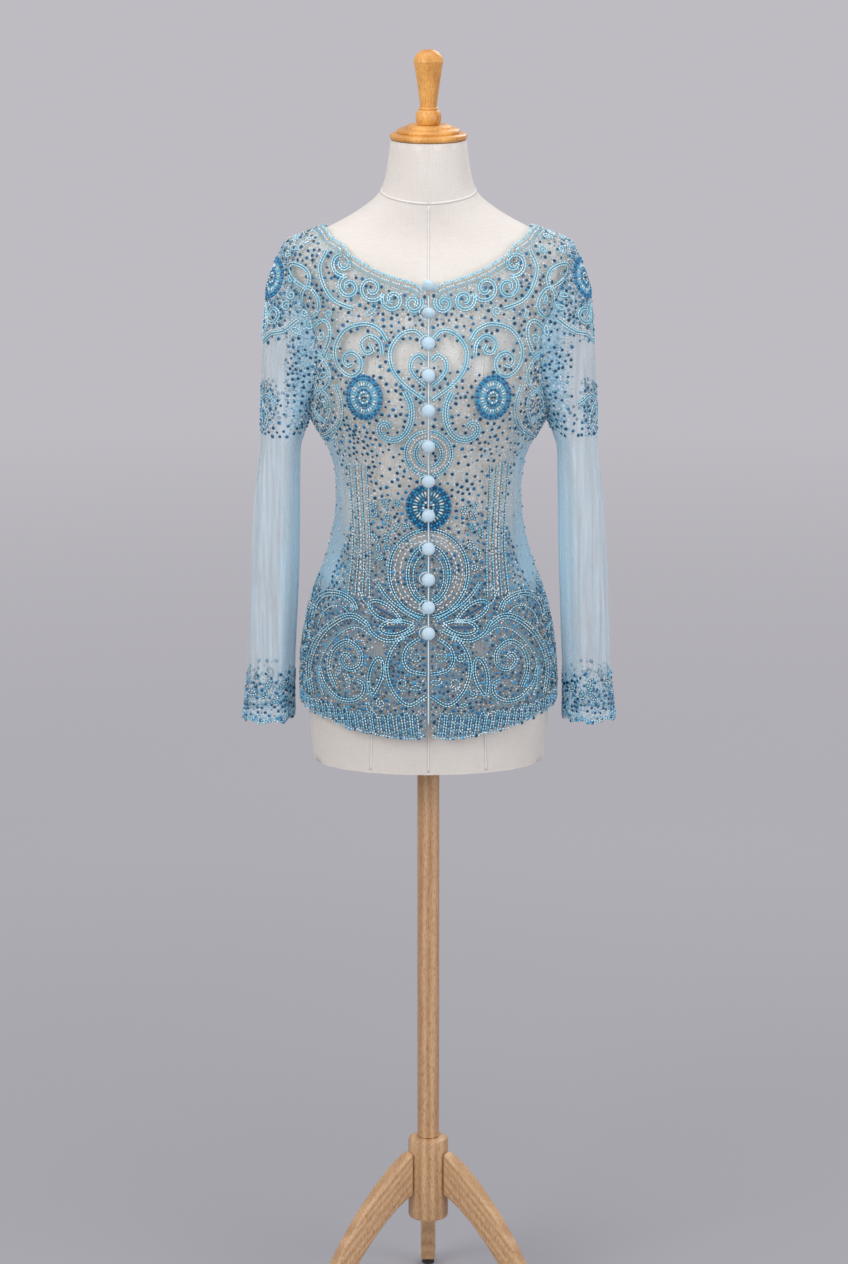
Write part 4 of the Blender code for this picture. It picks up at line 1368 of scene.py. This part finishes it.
def make_front_binding(fronts, finish):
    """A rolled edge over the opening, with a thread loop by each button."""
    low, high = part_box("front_binding")
    places = []
    height = low[2] + 0.0015
    while height < high[2] - 0.001:
        hits = [shell.seen_from(FRONT, side * 0.0012, height) for side, shell in fronts]
        hits = [h for h in hits if h]
        if hits:
            point = sum((h[0] for h in hits), Vector()) / len(hits)
            facing = sum((h[1] for h in hits), Vector()).normalized()
            places.append((Vector((0, point.y, point.z)), facing))
        height += BINDING_STEP
    roll = [(place + facing * 0.0004, facing) for place, facing in places]
    mesh = cord_mesh("front_binding_cord", [roll], half=0.0010, rise=0.0009)
    piece = as_piece("front_binding_cord", mesh, finish)
    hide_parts("front_binding")
    _, right_front = fronts[1]  # the loops are sewn to the wearer's right front
    loops = []
    for node in BUTTONS:
        lowest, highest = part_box(node)
        outline = ellipse(0.0, (lowest[2] + highest[2]) / 2, 0.0115, 0.0085, 180 + 8, 360 - 8, 12)
        hits = [right_front.seen_from(FRONT, p.x, p.y) for p in smooth_line(outline, 0.0016)]
        loops.append([h for h in hits if h])
    piece = as_piece("button_loops", cord_mesh("button_loops", [l for l in loops if len(l) > 2]), finish)


# ---------------------------------------------------------------- dress form and stand


# Seams of the form: where they start, from point to point, and where those beside the middle come closest
SEAM_LOW, SEAM_STEP, NARROWEST = 0.772, 0.004, 1.12
FORM_LOW, FORM_HIGH = 0.769, 1.5745  # between the two flat ends, whose edges stay sharp


def make_form(finish, thread):
    """The padded torso in stretched linen, with its neck seam and the seams of its panels."""
    shape = merged_copy("form_torso")
    bmesh.ops.dissolve_limit(shape, angle_limit=math.radians(1), verts=shape.verts, edges=shape.edges)
    bmesh.ops.triangulate(shape, faces=[f for f in shape.faces if len(f.verts) > 4])
    bmesh.ops.join_triangles(shape, faces=shape.faces, angle_face_threshold=0.6, angle_shape_threshold=1.2)
    torso = as_piece("form_linen", mesh_of("form_linen", shape), finish)
    sharp = []
    for edge in torso.data.edges:
        a, b = (torso.data.vertices[i].co for i in edge.vertices)
        level = abs(a.z - b.z) < 1e-4
        sharp.append(1.0 if level and (a.z < FORM_LOW or a.z > FORM_HIGH) else 0.0)
    torso.data.attributes.new("crease_edge", "FLOAT", "EDGE").data.foreach_set("value", sharp)
    subdivide_smoothly(torso, 2)
    torso.data.shade_smooth()
    bpy.context.view_layer.objects.active = torso
    bpy.ops.object.shade_smooth_by_angle(angle=math.radians(40))
    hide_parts("form_torso")
    shell = Shell(torso)
    lines = []
    for heading in (FRONT, BACK):  # the centre seams, up to the neck seam
        heights = [SEAM_LOW + SEAM_STEP * i for i in range(182)]
        lines.append([h for h in (shell.seen_from(heading, 0, z) for z in heights) if h])
    for heading, across in ((FRONT, 0.072), (FRONT, -0.072), (BACK, 0.068), (BACK, -0.068)):
        heights = [SEAM_LOW + SEAM_STEP * i for i in range(161)]
        hits = (shell.seen_from(heading, across * (0.86 + 0.5 * abs(z - NARROWEST)), z) for z in heights)
        lines.append([h for h in hits if h])
    turns = range(0, 361, 5)
    lines.append([shell.seen_from(turn, 0, 1.512 - 0.012 * math.cos(math.radians(turn))) for turn in turns])
    sunk = [[(place - facing * 0.0005, facing) for place, facing in line] for line in lines]
    seams = as_piece("form_seams", cord_mesh("form_seams", sunk, half=0.0019, rise=0.0006), thread)


def turned_piece(name, profile, node, finish, steps, middle_y=BODY_AXIS.y):
    """A profile of radius and height turned about an upright line, as on a lathe."""
    deselect()
    mesh = bpy.data.meshes.new(name)
    points = [(r, middle_y, z) for r, z in profile]
    mesh.from_pydata(points, [(i, i + 1) for i in range(len(points) - 1)], [])
    piece = as_piece(name, mesh, finish)
    bpy.context.view_layer.objects.active = piece
    piece.select_set(True)
    bpy.ops.object.mode_set(mode="EDIT")
    bpy.ops.mesh.select_all(action="SELECT")
    bpy.ops.mesh.spin(steps=steps, angle=2 * math.pi, center=(0, middle_y, 0), axis=(0, 0, 1))
    bpy.ops.mesh.select_all(action="SELECT")
    bpy.ops.mesh.remove_doubles(threshold=1e-5)
    bpy.ops.mesh.normals_make_consistent(inside=False)
    bpy.ops.object.mode_set(mode="OBJECT")
    bpy.ops.object.shade_smooth_by_angle(angle=math.radians(38))
    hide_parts(node)
    return piece


def fine_profile(base, points):
    """A smooth profile through points that are each a radius and a height above a base."""
    return [(p.x, p.y) for p in smooth_line([(radius, base + up) for radius, up in points], 0.0015)]


def make_neck_wood(finish):
    """The turned cap with its bead and collar, and the handle above it."""
    (_, _, low), (radius, _, high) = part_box("neck_cap")
    edge = [(0.0030, 0), (0.0006, 0.0018), (0, 0.0042), (0.0008, 0.0066), (0.0042, 0.0080)]  # inwards, and up
    profile = fine_profile(low, [(radius - inward, up) for inward, up in edge])
    profile += fine_profile(low, [(0.0400, 0.0086), (0.0404, 0.0104), (0.0386, 0.0130), (0.0345, 0.0144)])
    profile += fine_profile(low, [(0.0300, 0.0148), (0.0290, 0.0166), (0.0255, high - low)])
    profile = [(0, low), *profile, (0, high)]
    turned_piece("neck_cap_turned", profile, "neck_cap", finish, 72)
    (_, _, low), (_, _, high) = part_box("neck_finial")
    ball = [(0.0142, 0), (0.0158, 0.0040), (0.0164, 0.0092), (0.0152, 0.0148), (0.0118, 0.0188)]
    ring = [(0.0122, 0.0192), (0.0126, 0.0204), (0.0118, 0.0216)]
    handle = [(0.0106, 0.0220), (0.0114, 0.0300), (0.0136, 0.0470), (0.0164, 0.0650), (0.0189, 0.0800)]
    crown = [(0.0184, 0.0808), (0.0176, 0.0845), (0.0140, 0.0895), (0.0075, high - low - 0.0008)]
    crown += [(0.0, high - low)]
    profile = [(0, low)] + fine_profile(low, ball) + [(radius, low + up) for radius, up in ring]
    profile += fine_profile(low, handle) + fine_profile(low, crown)
    turned_piece("neck_finial_turned", profile, "neck_finial", finish, 56)


def make_stand(beech, leg_beech, rubber):
    """Pole, hub, three bowed legs with eased edges, and their rubber feet."""
    low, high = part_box("stand_pole")
    middle_y, radius = (low[1] + high[1]) / 2, high[0]
    pole = [(0, low[2]), (radius - 0.0008, low[2]), (radius, low[2] + 0.0008)]
    pole += [(radius, high[2] - 0.0008), (radius - 0.0008, high[2]), (0, high[2])]
    turned_piece("stand_pole_turned", pole, "stand_pole", beech, 40, middle_y)
    low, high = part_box("stand_hub")
    radius = high[0]
    hub = [(0, low[2]), (radius - 0.0045, low[2]), (radius - 0.0012, low[2] + 0.0012)]
    hub += [(radius, low[2] + 0.0045), (radius, high[2] - 0.0060)]
    hub += [(radius - 0.0016, high[2] - 0.0018), (radius - 0.0060, high[2]), (0, high[2])]
    turned_piece("stand_hub_turned", hub, "stand_hub", beech, 56, middle_y)
    for word in ("back", "left", "right"):
        shape = merged_copy(f"stand_leg_{word}")
        bmesh.ops.dissolve_limit(shape, angle_limit=math.radians(3), verts=shape.verts, edges=shape.edges)
        leg = as_piece(f"leg_{word}", mesh_of(f"leg_{word}", shape), leg_beech)
        apply_modifier(leg, "BEVEL", width=0.0012, segments=2, limit_method="ANGLE",
                       angle_limit=math.radians(30))
        bpy.ops.object.shade_smooth_by_angle(angle=math.radians(40))
        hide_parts(f"stand_leg_{word}")
        node = f"stand_foot_{word}"
        low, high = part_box(node)
        centre, radius = (low + high) / 2, (high[0] - low[0]) / 2
        foot = [(0, low[2]), (radius - 0.0012, low[2]), (radius, low[2] + 0.0012)]
        foot += [(radius * 0.97, high[2] - 0.0010), (radius * 0.88, high[2]), (0, high[2])]
        piece = turned_piece(f"foot_{word}", foot, node, rubber, 28, 0.0)
        piece.data.transform(Matrix.Translation((centre[0], centre[1], 0)))


# ---------------------------------------------------------------- studio


CAMERA_PLACE, CAMERA_DIP, CAMERA_LENS = (-0.0057, -6.02, 2.35), 13.3, 135.1  # the dip is in degrees
FLOOR_REACH = 7.0
LAMPS_FACE = Vector((0, 0, 1.15))
Lamp = namedtuple("Lamp", "name place size power colour")
LAMPS = [
    Lamp("key", (-2.4, -3.2, 3.1), 2.2, 84, (1.0, 0.985, 0.96)),
    Lamp("fill", (2.9, -2.6, 2.0), 2.4, 50, (0.95, 0.975, 1.0)),
    Lamp("rim", (1.2, 2.6, 3.0), 1.6, 26, (1.0, 1.0, 1.0)),
    Lamp("overhead", (0.0, -0.6, 4.2), 2.6, 40, (1.0, 1.0, 1.0)),
]


def make_studio():
    """Camera, even pale surroundings, soft lamps, and a floor that fades out with distance."""
    scene = bpy.context.scene
    camera_data = bpy.data.cameras.new("camera")
    camera = bpy.data.objects.new("camera", camera_data)
    scene.collection.objects.link(camera)
    camera.location = CAMERA_PLACE
    camera.rotation_euler = (math.radians(90 - CAMERA_DIP), 0, 0)
    camera_data.lens, camera_data.sensor_width = CAMERA_LENS, 36
    camera_data.clip_start, camera_data.clip_end = 0.1, 60
    scene.camera = camera

    world = bpy.data.worlds.new("studio")
    world.use_nodes = True
    world.node_tree.nodes["Background"].inputs["Color"].default_value = (0.955, 0.933, 1.0, 1)
    world.node_tree.nodes["Background"].inputs["Strength"].default_value = 0.54
    scene.world = world
    for lamp in LAMPS:
        light = bpy.data.lights.new(lamp.name, "AREA")
        light.size, light.energy, light.color = lamp.size, lamp.power, lamp.colour
        stand = bpy.data.objects.new(lamp.name, light)
        scene.collection.objects.link(stand)
        stand.location = lamp.place
        stand.rotation_euler = (LAMPS_FACE - Vector(lamp.place)).to_track_quat("-Z", "Y").to_euler()

    floor_finish = Finish("floor", roughness=0.9)
    share = floor_finish.maths("DIVIDE", floor_finish.out_from(0.0), FLOOR_REACH)
    floor_finish.set("Alpha", floor_finish.ramp(share, (0.10, (1.0,)), (0.32, (0.5,)), (0.90, (0.0,))))
    greys = (0.3, (0.350, 0.350, 0.375)), (0.7, (0.365, 0.365, 0.390))
    floor_finish.set("Base Color", floor_finish.ramp(floor_finish.noise(0.7, 1.0), *greys))
    deselect()
    bpy.ops.mesh.primitive_circle_add(vertices=96, radius=FLOOR_REACH, fill_type="TRIFAN")
    floor = bpy.context.active_object
    floor.name = "floor"
    floor.data.materials.append(floor_finish.material)
    scene.view_settings.view_transform = "Standard"


# ---------------------------------------------------------------- everything


def main():
    deselect()
    make_studio()
    finishes = {
        "body_net": net_finish("body_net", 0.06, 0.16, (0.86, 0.94, 1.0), 120, WAIST),
        "sleeve_net": net_finish("sleeve_net", 0.08, 0.34, (0.66, 0.83, 0.91), 210),
        "soutache": cord_finish(),
        # dark strips of painted shadow under the cords and the rosettes
        "tape": painted_shadow_finish(),
        "beads": bead_finish(),
    }
    pieces, shells = make_cloth(finishes)
    beading = make_beading(shells, finishes)
    make_buttons(woven_finish("button_cloth", (0.48, 0.66, 0.77), (0.66, 0.80, 0.88), 1500, 0.7, 0.4))
    binding = plain_finish("binding", (0.50, 0.72, 0.84), (0.70, 0.84, 0.91), 400.0, 0.6)
    make_front_binding([(1, shells["front_left"]), (-1, shells["front_right"])], binding)
    linen = woven_finish("form_linen_cloth", (0.73, 0.685, 0.63), (0.81, 0.77, 0.72), 800, 0.85, 0.2)
    thread = woven_finish("form_thread", (0.79, 0.75, 0.70), (0.88, 0.84, 0.80), 900, 0.8, 0.1)
    make_form(linen, thread)
    make_neck_wood(wood_finish("honey_wood", (0.82, 0.42, 0.105), (0.60, 0.265, 0.050), 0.42, 0.18, "turned"))
    make_stand(
        wood_finish("beech", (0.66, 0.42, 0.23), (0.46, 0.26, 0.12), 0.48, 0.15),
        wood_finish("leg_beech", (0.66, 0.42, 0.23), (0.50, 0.29, 0.14), 0.48, 0.15, "sloping"),
        plain_finish("rubber", (0.020, 0.018, 0.017), (0.045, 0.042, 0.040), 300.0, 0.8),
    )


main()
